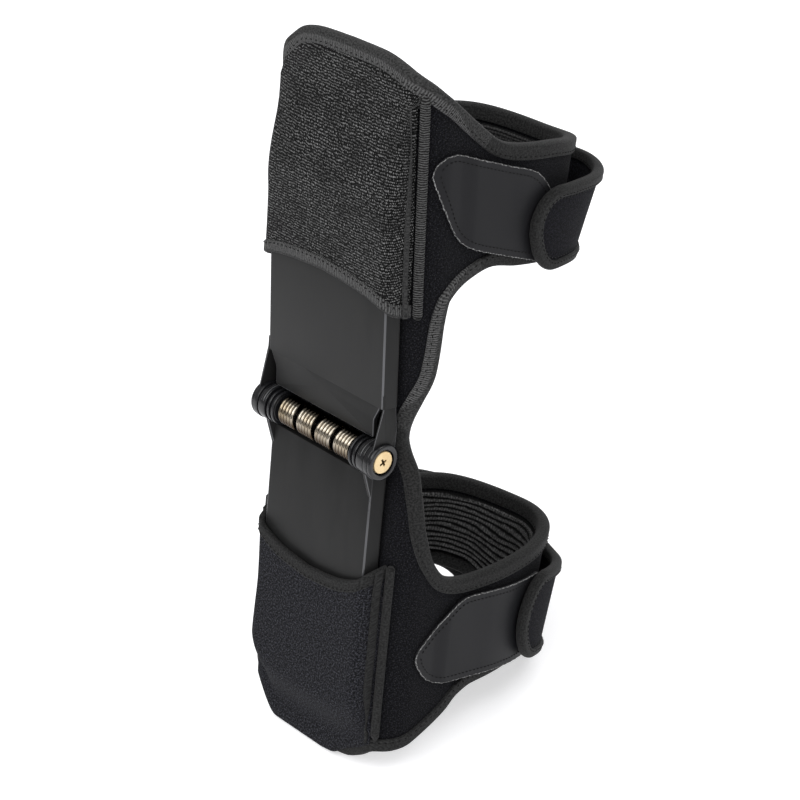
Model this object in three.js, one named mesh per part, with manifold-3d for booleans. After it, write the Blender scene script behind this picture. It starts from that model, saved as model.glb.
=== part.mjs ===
import * as THREE from 'three';
import { mergeVertices } from 'three/addons/utils/BufferGeometryUtils.js';
import Module from 'manifold-3d';

// Spring knee brace, in mm, standing on its tongue and on the rear of its calf cuff.
// Hinge frame: origin in the middle of the hinge shaft, X along it, Y to the back, Z up.

const wasm = await Module();
wasm.setup();

// Rest
const REST_LEAN = 4.8;
const FLOOR_Z = -170.6;
const FOOT_RISE = 1.9;
const FOOT_PRESS = 2.6;

// Gaps
const GAP = 0.3;

// Hard plates
const THIGH_TILT = 2.6;
const SHIN_TILT = 6.8;
const PLATE_DEPTH = 7.8;
const PLATE_WALL = 2.4;
const PLATE_FLARE = 2;
const THIGH_HALF = 40;
const SHIN_HALF = 35.5;
const THIGH_FOOT = 9.8;
const THIGH_TOP = 112;
const SHIN_HEAD = 10.5;
const SHIN_END = 111;
const NOTCH_TOP = 26;
const NOTCH_IN = 5.5;
const NOTCH_LIP = 1.8;
const NOTCH_SLANT = 7;
const CUT_OUT = 50;

// Hinge
const EYE_R = 9.1;
const BORE_R = 4.6;
const SHAFT_R = 4;
const BOSS_OUT = 42.6;
const BOSS_IN = 37.8;
const SHIN_EYE_OUT = 37.3;
const SHIN_EYE_IN = 32.6;
const WEB = 1.8;
const THIGH_GUSSET = 27;
const SHIN_GUSSET = 21;
const SCREW_R = 5.5;
const SCREW_T = 2.2;
const SCREW_SINK = 0.5;
const KNUCKLE_IN = 26.6;
const KNUCKLE_R = 7.3;
const RIB_R = 8.5;
const RIB_W = 1.5;
const RIBS = [26.8, 29.8];

// Springs
const SPRING_AT = [-19.6, -6.5, 6.5, 19.6];
const WIRE_R = 0.95;
const COIL_R = 6.2;
const TURNS = 5;
const PITCH = 2.08;
const LEG = 13;

// Cloth
const PANEL_T = 3.5;
const PANEL_SET = 11.5;
const POCKET_T = 1.5;
const TAB_T = 1.6;
const STRAP_T = 2.4;
const BIND_W = 6;
const BIND_T = 0.8;
const BIND_GAP = 0.68;
const STEEP_GAP = 0.7;
const STEEP_TO = 62;
const FLAT = 37;
const BEND = 13;
const WAIST_Z = 7;
const WAIST_S = 42;

const rad = Math.PI / 180;
const lean = REST_LEAN * rad;

// Lean of the panel's middle: height, set back from the shaft
const PROFILE = [
  { z: -195, y: -10.8 },
  { z: -140, y: -5.2 },
  { z: -100, y: -0.6 },
  { z: -60, y: 4.2 },
  { z: -25, y: 9.2 },
  { z: 0, y: 13 },
  { z: 25, y: 13.6 },
  { z: 75, y: 15 },
  { z: 150, y: 18.3 },
  { z: 195, y: 20.3 },
];

// Plan of each cuff: straight side to this depth, tip of the rear round, inset and end on the far side,
// widening with height about a middle, and the strap's slack and widening
const CUFFS = {
  thigh: {
    side: 55, tip: 122.5, inset: 5.6, end: 30, cone: 0.15, mid: 120, slack: 8, strapCone: 0.46, strapMid: 88,
  },
  calf: {
    side: 56, tip: 129.6, inset: 5.6, end: 30, cone: 0.13, mid: -90, slack: 2, strapCone: 0.19, strapMid: -118,
  },
};

// Edges of the panel: distance from the middle, height
const THIGH_UPPER = [
  { s: 0, z: 188 },
  { s: 20, z: 187 },
  { s: 38, z: 182.5 },
  { s: 48, z: 177.5 },
  { s: 57, z: 169.5 },
  { s: 73, z: 154.6 },
  { s: 87, z: 143.4 },
  { s: 97, z: 139 },
  { s: 125, z: 131.4 },
  { s: 150, z: 123.5 },
  { s: 192, z: 113.5 },
  { s: 235, z: 120.5 },
  { s: 320, z: 127 },
];
const THIGH_LOWER = [
  { s: 0, z: WAIST_Z },
  { s: WAIST_S, z: WAIST_Z },
  { s: 43.6, z: 18 },
  { s: 46.4, z: 28 },
  { s: 50.6, z: 40 },
  { s: 53.6, z: 52 },
  { s: 56, z: 66 },
  { s: 60, z: 76.5 },
  { s: 72, z: 83.4 },
  { s: 84, z: 85.4 },
  { s: 104, z: 80.6 },
  { s: 150, z: 69.4 },
  { s: 192, z: 61.6 },
  { s: 235, z: 65 },
  { s: 320, z: 71 },
];
const CALF_UPPER = [
  { s: 0, z: WAIST_Z },
  { s: WAIST_S, z: WAIST_Z },
  { s: 44, z: 2 },
  { s: 48, z: -7 },
  { s: 51, z: -21 },
  { s: 55.2, z: -42 },
  { s: 61.5, z: -58.5 },
  { s: 71.4, z: -71 },
  { s: 80, z: -75.4 },
  { s: 90, z: -78 },
  { s: 125, z: -82 },
  { s: 160, z: -87 },
  { s: 200, z: -90.6 },
  { s: 245, z: -81 },
  { s: 330, z: -69 },
];
const CALF_LOWER = [
  { s: 0, z: -170.6 },
  { s: 25, z: -168.2 },
  { s: 35, z: -163.6 },
  { s: 42, z: -158 },
  { s: 50, z: -156 },
  { s: 64, z: -152 },
  { s: 80, z: -145.4 },
  { s: 88, z: -139.6 },
  { s: 98, z: -137.2 },
  { s: 112, z: -138 },
  { s: 150, z: -142 },
  { s: 200, z: -145.4 },
  { s: 224, z: -133.4 },
  { s: 246, z: -127.4 },
  { s: 330, z: -124 },
];

// The top edge and the tongue hang lower to the left: rise for each mm to the right, corner drop
const TOP_TILT = 0.05;
const TONGUE_TILT = 0.05;
const LEFT_DROP = 6;

// Stations where the edges are cut, and those of the hidden left wing's end
const THIGH_CUTS = [0, 20, 36, 42, 43.6, 46.4, 50.6, 53.6, 56, 60, 65, 72, 84, 97, 114, 132, 150, 168,
  184, 200, 216, 232, 246, 260, 306];
const CALF_CUTS = [0, 20, 36, 42, 44, 48, 51, 55.2, 58, 61.5, 66, 72, 80, 88, 98, 115, 133, 151, 168,
  184, 200, 216, 231, 246, 262, 322];
const LEFT_STOP = { thigh: [97, 104], calf: [98, 105, 112] };

// Rounded heights and setbacks between table rows
function table(rows, key, value, x) {
  const n = rows.length;
  if (x <= rows[0][key]) return rows[0][value];
  if (x >= rows[n - 1][key]) return rows[n - 1][value];
  let i = 0;
  while (x > rows[i + 1][key]) i += 1;
  const slope = (k) => (rows[k + 1][value] - rows[k][value]) / (rows[k + 1][key] - rows[k][key]);
  const knot = (k) => {
    if (k === 0) return slope(0);
    if (k === n - 1) return slope(n - 2);
    const a = slope(k - 1);
    const b = slope(k);
    return a * b <= 0 ? 0 : (2 * a * b) / (a + b);
  };
  const h = rows[i + 1][key] - rows[i][key];
  const t = (x - rows[i][key]) / h;
  const t2 = t * t;
  const t3 = t2 * t;
  return (2 * t3 - 3 * t2 + 1) * rows[i][value] + (t3 - 2 * t2 + t) * h * knot(i)
    + (3 * t2 - 2 * t3) * rows[i + 1][value] + (t3 - t2) * h * knot(i + 1);
}
const setback = (z) => table(PROFILE, 'z', 'y', z);
const clamp01 = (v) => Math.min(1, Math.max(0, v));
const smooth = (v) => clamp01(v) ** 2 * (3 - 2 * clamp01(v));

// A plan curve as a measured path of short steps
function path(points) {
  const at = [0];
  for (let i = 1; i < points.length; i += 1) {
    at.push(at[i - 1] + Math.hypot(points[i][0] - points[i - 1][0], points[i][1] - points[i - 1][1]));
  }
  return (s) => {
    let i = 0;
    while (i < at.length - 2 && s > at[i + 1]) i += 1;
    const t = (s - at[i]) / (at[i + 1] - at[i]);
    return [0, 1].map((k) => points[i][k] + t * (points[i + 1][k] - points[i][k]));
  };
}
function round(cx, half, from, deep, start, end, steps) {
  const points = [];
  for (let i = 0; i <= steps; i += 1) {
    const a = start + ((end - start) * i) / steps;
    points.push([cx + half * Math.cos(a), from + deep * Math.sin(a)]);
  }
  return points;
}
function frontRun() {
  const points = [[0, 0]];
  for (let i = 0; i <= 8; i += 1) {
    const a = (i / 8) * 90 * rad;
    points.push([FLAT + BEND * Math.sin(a), BEND * (1 - Math.cos(a))]);
  }
  return points;
}
const HALF = FLAT + BEND;
const PLANS = {};
for (const [name, c] of Object.entries(CUFFS)) {
  const band = round(c.inset / 2, HALF - c.inset / 2, c.side, c.tip - c.side, 0, Math.PI, 48);
  const wing = round(0, HALF, c.side, c.tip - c.side + 3, 0, Math.PI / 2, 24);
  PLANS[name] = {
    right: path([...frontRun(), ...band, [c.inset - HALF, c.end]]),
    left: path([...frontRun(), ...wing]),
  };
}

// Middle surface of the panel at a distance s round the leg and a height z
function panelAt(name, s, z) {
  const c = CUFFS[name];
  const [x, d] = s >= 0 ? PLANS[name].right(s) : PLANS[name].left(-s);
  const back = smooth((d - 10) / (c.tip - 10));
  return new THREE.Vector3(s >= 0 ? x : -x, setback(z) + d + c.cone * (z - c.mid) * back, z);
}
function offsetFrom(surface, s, z, out) {
  const e = 0.6;
  const ds = surface(s + e, z).sub(surface(s - e, z));
  const dz = surface(s, z + e).sub(surface(s, z - e));
  return surface(s, z).add(ds.cross(dz).normalize().multiplyScalar(out));
}
const panelSurface = (name) => (s, z) => panelAt(name, s, z);

// Closed solid from corners and triangles, turned outward
function solid(corners, faces) {
  let volume = 0;
  for (const [a, b, c] of faces) {
    volume += corners[a].dot(corners[b].clone().cross(corners[c]));
  }
  const g = new THREE.BufferGeometry();
  g.setAttribute('position', new THREE.Float32BufferAttribute(corners.flatMap((p) => [p.x, p.y, p.z]), 3));
  g.setIndex(faces.flatMap(([a, b, c]) => (volume > 0 ? [a, b, c] : [a, c, b])));
  return g;
}

// A four-cornered face p, q over r, s, split along its shorter diagonal
function across(corners, p, q, r, s) {
  const ps = corners[p].distanceTo(corners[s]);
  const qr = corners[q].distanceTo(corners[r]);
  return ps <= qr ? [[p, q, s], [p, s, r]] : [[p, q, r], [q, s, r]];
}

// Wall of a given thickness over a flat pattern of corners (s, z) and triangles
function thicken(pattern, faces, place, outer, inner) {
  const n = pattern.length;
  const corners = [...pattern.map((p) => place(p, outer)), ...pattern.map((p) => place(p, inner))];
  const used = new Map();
  const all = [];
  for (const f of faces) {
    all.push(f, [f[0] + n, f[2] + n, f[1] + n]);
    for (let k = 0; k < 3; k += 1) {
      const a = f[k];
      const b = f[(k + 1) % 3];
      if (used.has(`${b},${a}`)) used.delete(`${b},${a}`);
      else used.set(`${a},${b}`, [a, b]);
    }
  }
  for (const [a, b] of used.values()) all.push(...across(corners, b, a, b + n, a + n));
  return solid(corners, all);
}

// Pattern of columns between a lower and an upper edge
function columns(cuts, rows, lower, upper) {
  const pattern = [];
  const faces = [];
  cuts.forEach((s) => {
    const a = lower(s);
    const b = upper(s);
    for (let j = 0; j <= rows; j += 1) pattern.push([s, a + ((b - a) * j) / rows]);
  });
  const m = rows + 1;
  for (let i = 0; i < cuts.length - 1; i += 1) {
    for (let j = 0; j < rows; j += 1) {
      const k = i * m + j;
      faces.push([k, k + m, k + m + 1], [k, k + m + 1, k + 1]);
    }
  }
  return { pattern, faces };
}
function join(a, b) {
  const pattern = [...a.pattern];
  const seen = new Map(pattern.map((p, i) => [p.map((v) => v.toFixed(3)).join(), i]));
  const at = b.pattern.map((p) => {
    const key = p.map((v) => v.toFixed(3)).join();
    if (!seen.has(key)) {
      seen.set(key, pattern.length);
      pattern.push(p);
    }
    return seen.get(key);
  });
  return { pattern, faces: [...a.faces, ...b.faces.map((f) => f.map((k) => at[k]))] };
}

// Section swept along a run of stations, each a function from section to space
function sweep(stations, section, closed) {
  const m = section.length;
  const corners = stations.flatMap((place) => section.map(([w, b]) => place(w, b)));
  const faces = [];
  const n = stations.length;
  for (let i = 0; i < (closed ? n : n - 1); i += 1) {
    const a = i * m;
    const b = ((i + 1) % n) * m;
    for (let k = 0; k < m; k += 1) {
      const q = (k + 1) % m;
      faces.push(...across(corners, a + k, b + k, a + q, b + q));
    }
  }
  if (!closed) {
    const flat = THREE.ShapeUtils.triangulateShape(section.map(([w, b]) => new THREE.Vector2(w, b)), []);
    const turn = THREE.ShapeUtils.isClockWise(section.map(([w, b]) => new THREE.Vector2(w, b)));
    const end = (n - 1) * m;
    for (const [p, q, r] of flat) {
      faces.push(turn ? [p, r, q] : [p, q, r]);
      faces.push(turn ? [end + p, end + q, end + r] : [end + p, end + r, end + q]);
    }
  }
  return solid(corners, faces);
}

// Corners of a binding's section, and the two on the outside of the fold
const SECTION_CORNERS = 8;
const WEB_CORNERS = [0, 7];

// Folded tape over an edge: step inward, upright on shallow edges, then out from the middle surface
function binding(edge, closed, place, wall, width) {
  const inner = wall / 2 + BIND_GAP;
  const outer = inner + BIND_T;
  const section = [
    [-GAP - BIND_T, -outer], [width, -outer], [width, -inner], [-GAP, -inner],
    [-GAP, inner], [width, inner], [width, outer], [-GAP - BIND_T, outer],
  ];
  const n = edge.length;
  let area = 0;
  edge.forEach((p, i) => {
    const q = edge[(i + 1) % n];
    area += p[0] * q[1] - q[0] * p[1];
  });
  const side = area > 0 ? 1 : -1;
  const left = (a, b) => {
    const l = Math.hypot(b[0] - a[0], b[1] - a[1]);
    return [(-side * (b[1] - a[1])) / l, (side * (b[0] - a[0])) / l];
  };
  const stations = edge.map((p, i) => {
    const before = left(closed || i > 0 ? edge[(i + n - 1) % n] : p, closed || i > 0 ? p : edge[1]);
    const after = left(closed || i < n - 1 ? p : edge[n - 2], closed || i < n - 1 ? edge[(i + 1) % n] : p);
    const m = [before[0] + after[0], before[1] + after[1]];
    const l = Math.hypot(m[0], m[1]);
    const steep = smooth((Math.abs(m[0] / l) - 0.6) / 0.3);
    const d = [(m[0] / l) * steep, m[1] / l];
    const k = 1 / Math.max(0.62, Math.hypot(d[0], d[1]));
    const ease = Math.abs(p[0]) < STEEP_TO ? STEEP_GAP * steep : 0;
    return (w, b) => place([p[0] + d[0] * w * k, p[1] + d[1] * w * k], b + Math.sign(b) * ease);
  });
  return sweep(stations, section, closed);
}

// The back panel: thigh and calf patterns joined along the waist
const fade = (s, from, to) => 1 - smooth((Math.abs(s) - from) / (to - from));
const leftDrop = (s) => LEFT_DROP * smooth((-s - 30) / 15) * fade(s, 55, 95);
const topTilt = (s) => (s < 0 ? -leftDrop(s) : TOP_TILT * s * fade(s, 45, 95));
const tongueTilt = (s) => TONGUE_TILT * s * fade(s, 30, 60);
const floorUnder = (y) => FLOOR_Z + y * Math.tan(lean);
const edges = {
  thigh: {
    upper: (s) => table(THIGH_UPPER, 's', 'z', Math.abs(s)) + topTilt(s),
    lower: (s) => table(THIGH_LOWER, 's', 'z', Math.abs(s)),
  },
  calf: {
    upper: (s) => table(CALF_UPPER, 's', 'z', Math.abs(s)),
    lower: (s) => {
      const hung = table(CALF_LOWER, 's', 'z', Math.abs(s)) + tongueTilt(s);
      return Math.max(hung, floorUnder(setback(hung)) + FOOT_RISE);
    },
  },
};
function cutsFor(name, list) {
  const stop = LEFT_STOP[name];
  const left = [...list.filter((s) => s > 0 && s < stop[0] - 2), ...stop].map((s) => -s).reverse();
  return [...left, ...list];
}
const cuts = { thigh: cutsFor('thigh', THIGH_CUTS), calf: cutsFor('calf', CALF_CUTS) };

// The wing's hidden left end is rounded
const LEFT_ROUND = 9;
function endRound(name, s) {
  const d = s + Math.max(...LEFT_STOP[name]);
  const rest = LEFT_ROUND - d;
  return rest > 0 ? LEFT_ROUND - Math.sqrt(Math.max(0, LEFT_ROUND ** 2 - rest ** 2)) : 0;
}
const lowerEdge = (name) => (s) => edges[name].lower(s) + endRound(name, s);
const upperEdge = (name) => (s) => edges[name].upper(s) - endRound(name, s);
const atWaist = (s) => Math.abs(s) <= WAIST_S + 1e-6;

function buildPanel() {
  const thigh = columns(cuts.thigh, 3, lowerEdge('thigh'), upperEdge('thigh'));
  const calf = columns(cuts.calf, 3, lowerEdge('calf'), upperEdge('calf'));
  return join(thigh, calf);
}
function panelPlace([s, z], out) {
  const name = z >= WAIST_Z - 1e-6 ? 'thigh' : 'calf';
  return offsetFrom(panelSurface(name), s, z, out);
}
const waistCuts = [...new Set([...cuts.thigh, ...cuts.calf].filter(atWaist))].sort((a, b) => a - b);
for (const name of ['thigh', 'calf']) {
  cuts[name] = [...cuts[name].filter((s) => !atWaist(s)), ...waistCuts].sort((a, b) => a - b);
}
const panel = buildPanel();
function panelLoop() {
  const t = cuts.thigh;
  const c = cuts.calf;
  const rows = [1 / 3, 2 / 3];
  const down = (name, s) => rows.map((r) => [s, upperEdge(name)(s) * (1 - r) + lowerEdge(name)(s) * r]);
  const loop = [];
  t.forEach((s) => loop.push([s, upperEdge('thigh')(s)]));
  loop.push(...down('thigh', t[t.length - 1]));
  [...t].reverse().filter((s) => s >= WAIST_S - 1e-6).forEach((s) => loop.push([s, lowerEdge('thigh')(s)]));
  c.filter((s) => s > WAIST_S + 1e-6).forEach((s) => loop.push([s, upperEdge('calf')(s)]));
  loop.push(...down('calf', c[c.length - 1]));
  [...c].reverse().forEach((s) => loop.push([s, lowerEdge('calf')(s)]));
  loop.push(...down('calf', c[0]).reverse());
  c.filter((s) => s <= -WAIST_S + 1e-6).forEach((s) => loop.push([s, upperEdge('calf')(s)]));
  [...t].reverse().filter((s) => s < -WAIST_S - 1e-6).forEach((s) => loop.push([s, lowerEdge('thigh')(s)]));
  loop.push(...down('thigh', t[0]).reverse());
  return loop;
}

// Ribbed lining inside the bands
const LININGS = {
  thigh: { from: 72, to: 297, ribs: 10 },
  calf: { from: 80, to: 313, ribs: 11 },
};
const LINING_T = 1;
const LINING_GAP = 0.65;
const LINING_IN = BIND_W + 1.5;
const LINING_RIB = 0.9;
function lining(name) {
  const l = LININGS[name];
  const list = [...cuts[name].filter((s) => s >= l.from && s < l.to), l.to];
  const stations = list.map((s) => {
    const low = lowerEdge(name)(s) + LINING_IN;
    const high = upperEdge(name)(s) - LINING_IN;
    return (w, b) => offsetFrom(panelSurface(name), s, low + (high - low) * w, b);
  });
  const back = -PANEL_T / 2 - LINING_GAP;
  const section = [[1, back], [0, back]];
  for (let k = 0; k < l.ribs; k += 1) {
    section.push([k / l.ribs, back - LINING_T]);
    section.push([(k + 0.5) / l.ribs, back - LINING_T - LINING_RIB]);
  }
  section.push([1, back - LINING_T]);
  return sweep(stations, section, false);
}

// Pockets over the plates: across the front, then how far behind the plate's face
const POCKETS = {
  thigh: {
    section: [
      { x: 0, d: -2.3 }, { x: 20, d: -2.3 }, { x: 38, d: -2.3 }, { x: 41.5, d: -1.2 },
      { x: 43.1, d: 2.4 }, { x: 43.9, d: 7 }, { x: 44.4, d: 10.2 },
    ],
    mouth: [{ x: 0, z: 83 }, { x: 22, z: 81.4 }, { x: 40, z: 77.6 }, { x: 44.4, z: 71.5 }],
    end: [{ x: 0, z: 179.6 }, { x: 20, z: 178.4 }, { x: 37, z: 173.6 }, { x: 44.4, z: 168 }],
    rows: [0, 0.2, 0.42, 0.56, 0.7, 0.84, 1],
    closes: 0.4,
    tilt: THIGH_TILT,
    leftIn: 0.35,
    endTilt: (x) => topTilt(x),
  },
  shin: {
    section: [
      { x: 0, d: -2.3 }, { x: 18, d: -2.3 }, { x: 33.5, d: -2.3 }, { x: 37.1, d: -1.3 },
      { x: 38.8, d: 2.4 }, { x: 39.8, d: 6.4 }, { x: 40.8, d: 9.4 },
    ],
    mouth: [{ x: 0, z: -71 }, { x: 18, z: -69 }, { x: 33, z: -64 }, { x: 40.8, z: -57.5 }],
    end: [{ x: 0, z: -159.6 }, { x: 22, z: -158.8 }, { x: 33, z: -154.6 }, { x: 40.8, z: -146 }],
    rows: [0, 0.3, 0.6, 0.7, 0.8, 0.9, 1],
    closes: 0.6,
    tilt: SHIN_TILT,
    leftIn: 0.4,
    endTilt: (x) => tongueTilt(x),
  },
};
const SEAM_D = PANEL_SET - PANEL_T / 2 - POCKET_T / 2 - 0.5;
function pocketPoint(p, u, v) {
  const last = p.section.length - 1;
  const q = Math.abs(u) * last;
  const i = Math.min(last - 1, Math.floor(q));
  const f = q - i;
  const wide = p.section[i].x + f * (p.section[i + 1].x - p.section[i].x);
  const x = wide - (u < 0 ? p.leftIn * smooth((wide - 28) / 10) : 0);
  const full = p.section[i].d + f * (p.section[i + 1].d - p.section[i].d);
  const z0 = table(p.mouth, 'x', 'z', x);
  const z1 = table(p.end, 'x', 'z', x) + p.endTilt(Math.sign(u) * x);
  const z = z0 + (z1 - z0) * v;
  const shut = smooth((v - p.closes) / (1 - p.closes));
  const seam = setback(z) - PANEL_SET - z * Math.tan(p.tilt * rad) + SEAM_D;
  const d = full + (Math.max(full, seam) - full) * shut;
  return new THREE.Vector3(Math.sign(u) * x, z * Math.tan(p.tilt * rad) + d, z);
}
function pocketOut(p, u, v, out) {
  const e = 0.01;
  const du = pocketPoint(p, Math.min(1, u + e), v).sub(pocketPoint(p, Math.max(-1, u - e), v));
  const dv = pocketPoint(p, u, Math.min(1, v + e)).sub(pocketPoint(p, u, Math.max(0, v - e)));
  const n = du.cross(dv).normalize();
  if (n.y > 0.05 || (Math.abs(n.y) <= 0.05 && n.x * u < 0)) n.negate();
  return pocketPoint(p, u, v).addScaledVector(n, out);
}
function pocketAcross(p) {
  const last = p.section.length - 1;
  const list = [];
  for (let i = -last; i <= last; i += 1) list.push(i / last);
  return list;
}
function pocket(p) {
  const list = pocketAcross(p);
  const m = p.rows.length;
  const pattern = list.flatMap((u) => p.rows.map((v) => [u, v]));
  const faces = [];
  for (let i = 0; i < list.length - 1; i += 1) {
    for (let j = 0; j < m - 1; j += 1) {
      const k = i * m + j;
      faces.push([k, k + m, k + m + 1], [k, k + m + 1, k + 1]);
    }
  }
  return thicken(pattern, faces, ([u, v], out) => pocketOut(p, u, v, out), POCKET_T / 2, -POCKET_T / 2);
}
const HEM_W = 5.6;
const HEM_T = 0.5;
const HEM_GAP = 0.2;
function hem(p) {
  const length = Math.abs(p.end[0].z - p.mouth[0].z);
  const inner = POCKET_T / 2 + HEM_GAP;
  const outer = inner + HEM_T;
  const start = (-GAP - HEM_T) / length;
  const lip = -GAP / length;
  const width = HEM_W / length;
  const section = [
    [start, -outer], [width, -outer], [width, -inner], [lip, -inner],
    [lip, inner], [width, inner], [width, outer], [start, outer],
  ];
  const stations = pocketAcross(p).map((u) => (w, b) => {
    const base = pocketOut(p, u, Math.max(0, w), b);
    if (w < 0) base.z += w * length * Math.sign(p.end[0].z - p.mouth[0].z);
    return base;
  });
  return sweep(stations, section, false);
}

// Flat tape on the pocket's side and rounded piping along its seam
const TAPE_ROWS = [0.075, 0.25, 0.45, 0.65, 0.8, 0.93];
const TAPE_FROM_END = 1.05;
const TAPE_HALF = 0.3;
const TAPE_T = 0.9;
function tape(p, side) {
  const last = p.section.length - 1;
  const at = ((last - TAPE_FROM_END) / last) * side;
  const half = TAPE_HALF / last;
  const low = POCKET_T / 2 + GAP;
  const section = [[-half, low], [half, low], [half, low + TAPE_T], [-half, low + TAPE_T]];
  const stations = TAPE_ROWS.map((v) => (w, b) => pocketOut(p, at + w * side, v, b));
  return sweep(stations, section, false);
}
const PIPING_R = 1.6;
const PIPING_ROWS = [0.075, 0.25, 0.45, 0.65, 0.82, 1];
const PIPING_OUT = { thigh: 1.9, calf: 2 };
function piping(name, p, side) {
  const edge = p.section[p.section.length - 1].x;
  const out = PANEL_T / 2 + GAP + PIPING_R;
  const s = side * (edge + PIPING_OUT[name]);
  const section = [];
  for (let k = 0; k < 6; k += 1) {
    section.push([PIPING_R * Math.cos((k / 3) * Math.PI), out + PIPING_R * Math.sin((k / 3) * Math.PI)]);
  }
  const low = table(p.mouth, 'x', 'z', edge);
  const high = table(p.end, 'x', 'z', edge) + p.endTilt(side * edge);
  const stations = PIPING_ROWS.map((v) => (w, b) => (
    offsetFrom(panelSurface(name), s + w, low + (high - low) * v, b)));
  return sweep(stations, section, false);
}

// Outer straps: plan outside the cuff, run measured from the rear middle
const STRAPS = {
  thigh: {
    half: 58.2,
    reach: 105,
    middle: [{ t: 0, z: 78.6 }, { t: 40, z: 83.4 }, { t: 80, z: 92 }, { t: 118, z: 98 }],
    height: [{ t: 0, h: 35.6 }, { t: 80, h: 37.6 }, { t: 118, h: 39.5 }],
    drop: 3,
    leftLift: 0,
  },
  calf: {
    half: 58.8,
    reach: 88,
    middle: [
      { t: 0, z: -135.6 }, { t: 18, z: -134.8 }, { t: 40, z: -129 },
      { t: 80, z: -115.5 }, { t: 106, z: -110.5 },
    ],
    height: [{ t: 0, h: 46 }, { t: 80, h: 44 }, { t: 106, h: 44 }],
    drop: -3,
    leftLift: 12,
  },
};
const STRAP_OUT = 6.2;
const STRAP_BIND_W = 4.6;
const STRAP_ROUND = 17;
for (const [name, st] of Object.entries(STRAPS)) {
  const c = CUFFS[name];
  const tip = c.tip + STRAP_OUT + c.slack;
  st.tip = tip;
  st.plan = path(round(0, st.half, c.side, tip - c.side, Math.PI / 2, -0.35, 60));
}
function strapAt(name, t, z) {
  const st = STRAPS[name];
  const c = CUFFS[name];
  const [x, d] = st.plan(Math.abs(t));
  const back = smooth((d - 40) / (st.tip - 40));
  return new THREE.Vector3(t <= 0 ? x : -x, setback(z) + d + c.strapCone * (z - c.strapMid) * back, z);
}
function strapEdges(name) {
  const st = STRAPS[name];
  const round2 = (t) => {
    const k = clamp01((Math.abs(t) - st.reach + STRAP_ROUND) / STRAP_ROUND);
    return Math.sqrt(Math.max(0.03, 1 - k * k));
  };
  const mid = (t) => table(st.middle, 't', 'z', Math.abs(t)) + st.drop * clamp01((Math.abs(t) - 80) / 30) ** 2
    + st.leftLift * smooth((t - 10) / 34);
  const half = (t) => (table(st.height, 't', 'h', Math.abs(t)) / 2) * round2(t);
  return { upper: (t) => mid(t) + half(t), lower: (t) => mid(t) - half(t) };
}
function strapCuts(name) {
  const r = STRAPS[name].reach;
  const right = [14, 30, 46, 61, 76, 89, r - 15, r - 9, r - 4, r].filter((t, i) => i > 5 || t < r - 18);
  return [...right.map((t) => -t).reverse(), 0, ...right];
}
const strapPlace = (name) => ([t, z], out) => offsetFrom((a, b) => strapAt(name, a, b), t, z, out);
function strap(name) {
  const e = strapEdges(name);
  const flat = columns(strapCuts(name), 2, e.lower, e.upper);
  return thicken(flat.pattern, flat.faces, strapPlace(name), STRAP_T / 2, -STRAP_T / 2);
}
function strapBinding(name) {
  const e = strapEdges(name);
  const list = strapCuts(name);
  const loop = [...list.map((t) => [t, e.upper(t)]), ...[...list].reverse().map((t) => [t, e.lower(t)])];
  return binding(loop, true, strapPlace(name), STRAP_T, STRAP_BIND_W);
}

// Hook tabs on the wings: distance from the middle, upper and lower edge
const TABS = {
  thigh: [
    { s: 49.6, top: 141, low: 137 },
    { s: 51.4, top: 144.4, low: 131.5 },
    { s: 55, top: 147, low: 120.5 },
    { s: 59, top: 147, low: 110.8 },
    { s: 64.5, top: 145, low: 103.2 },
    { s: 71, top: 142, low: 98.6 },
    { s: 90, top: 133.2, low: 90 },
    { s: 110, top: 124, low: 81.5 },
    { s: 126, top: 116.4, low: 74.5 },
  ],
  calf: [
    { s: 56, top: -104.6, low: -109.4 },
    { s: 58.4, top: -101.6, low: -114.2 },
    { s: 63, top: -98, low: -120.4 },
    { s: 70, top: -92.4, low: -125.4 },
    { s: 78, top: -86.6, low: -127.8 },
    { s: 84, top: -84.8, low: -129 },
    { s: 98, top: -87.2, low: -131.8 },
    { s: 115, top: -91, low: -135.4 },
    { s: 133, top: -95, low: -139.4 },
    { s: 142, top: -97.2, low: -141.4 },
  ],
};
const TAB_GAP = 0.4;
const TAB_OUT = PANEL_T / 2 + TAB_GAP;
const TAB_LIFT = BIND_GAP + BIND_T;
const TAB_RISE = { thigh: 62, calf: 66 };
const NOSE_LIFT = 2.2;
const tabOut = (name, s) => TAB_OUT + TAB_LIFT * smooth((Math.abs(s) - TAB_RISE[name]) / 10)
  + (s < 0 ? NOSE_LIFT * (1 - smooth((-s - 52) / 14)) : 0);
function tab(name, side) {
  const rows = TABS[name];
  const list = side > 0 ? rows.map((r) => r.s) : rows.map((r) => -r.s).reverse();
  const edge = (key) => (s) => table(rows, 's', key, Math.abs(s));
  const flat = columns(list, 2, edge('low'), edge('top'));
  const lift = side < 0 ? STRAPS[name].leftLift * 0.8 : 0;
  const place = ([s, z], out) => offsetFrom(panelSurface(name), s, z + lift, tabOut(name, s) + out);
  return thicken(flat.pattern, flat.faces, place, TAB_T, 0);
}

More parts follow.
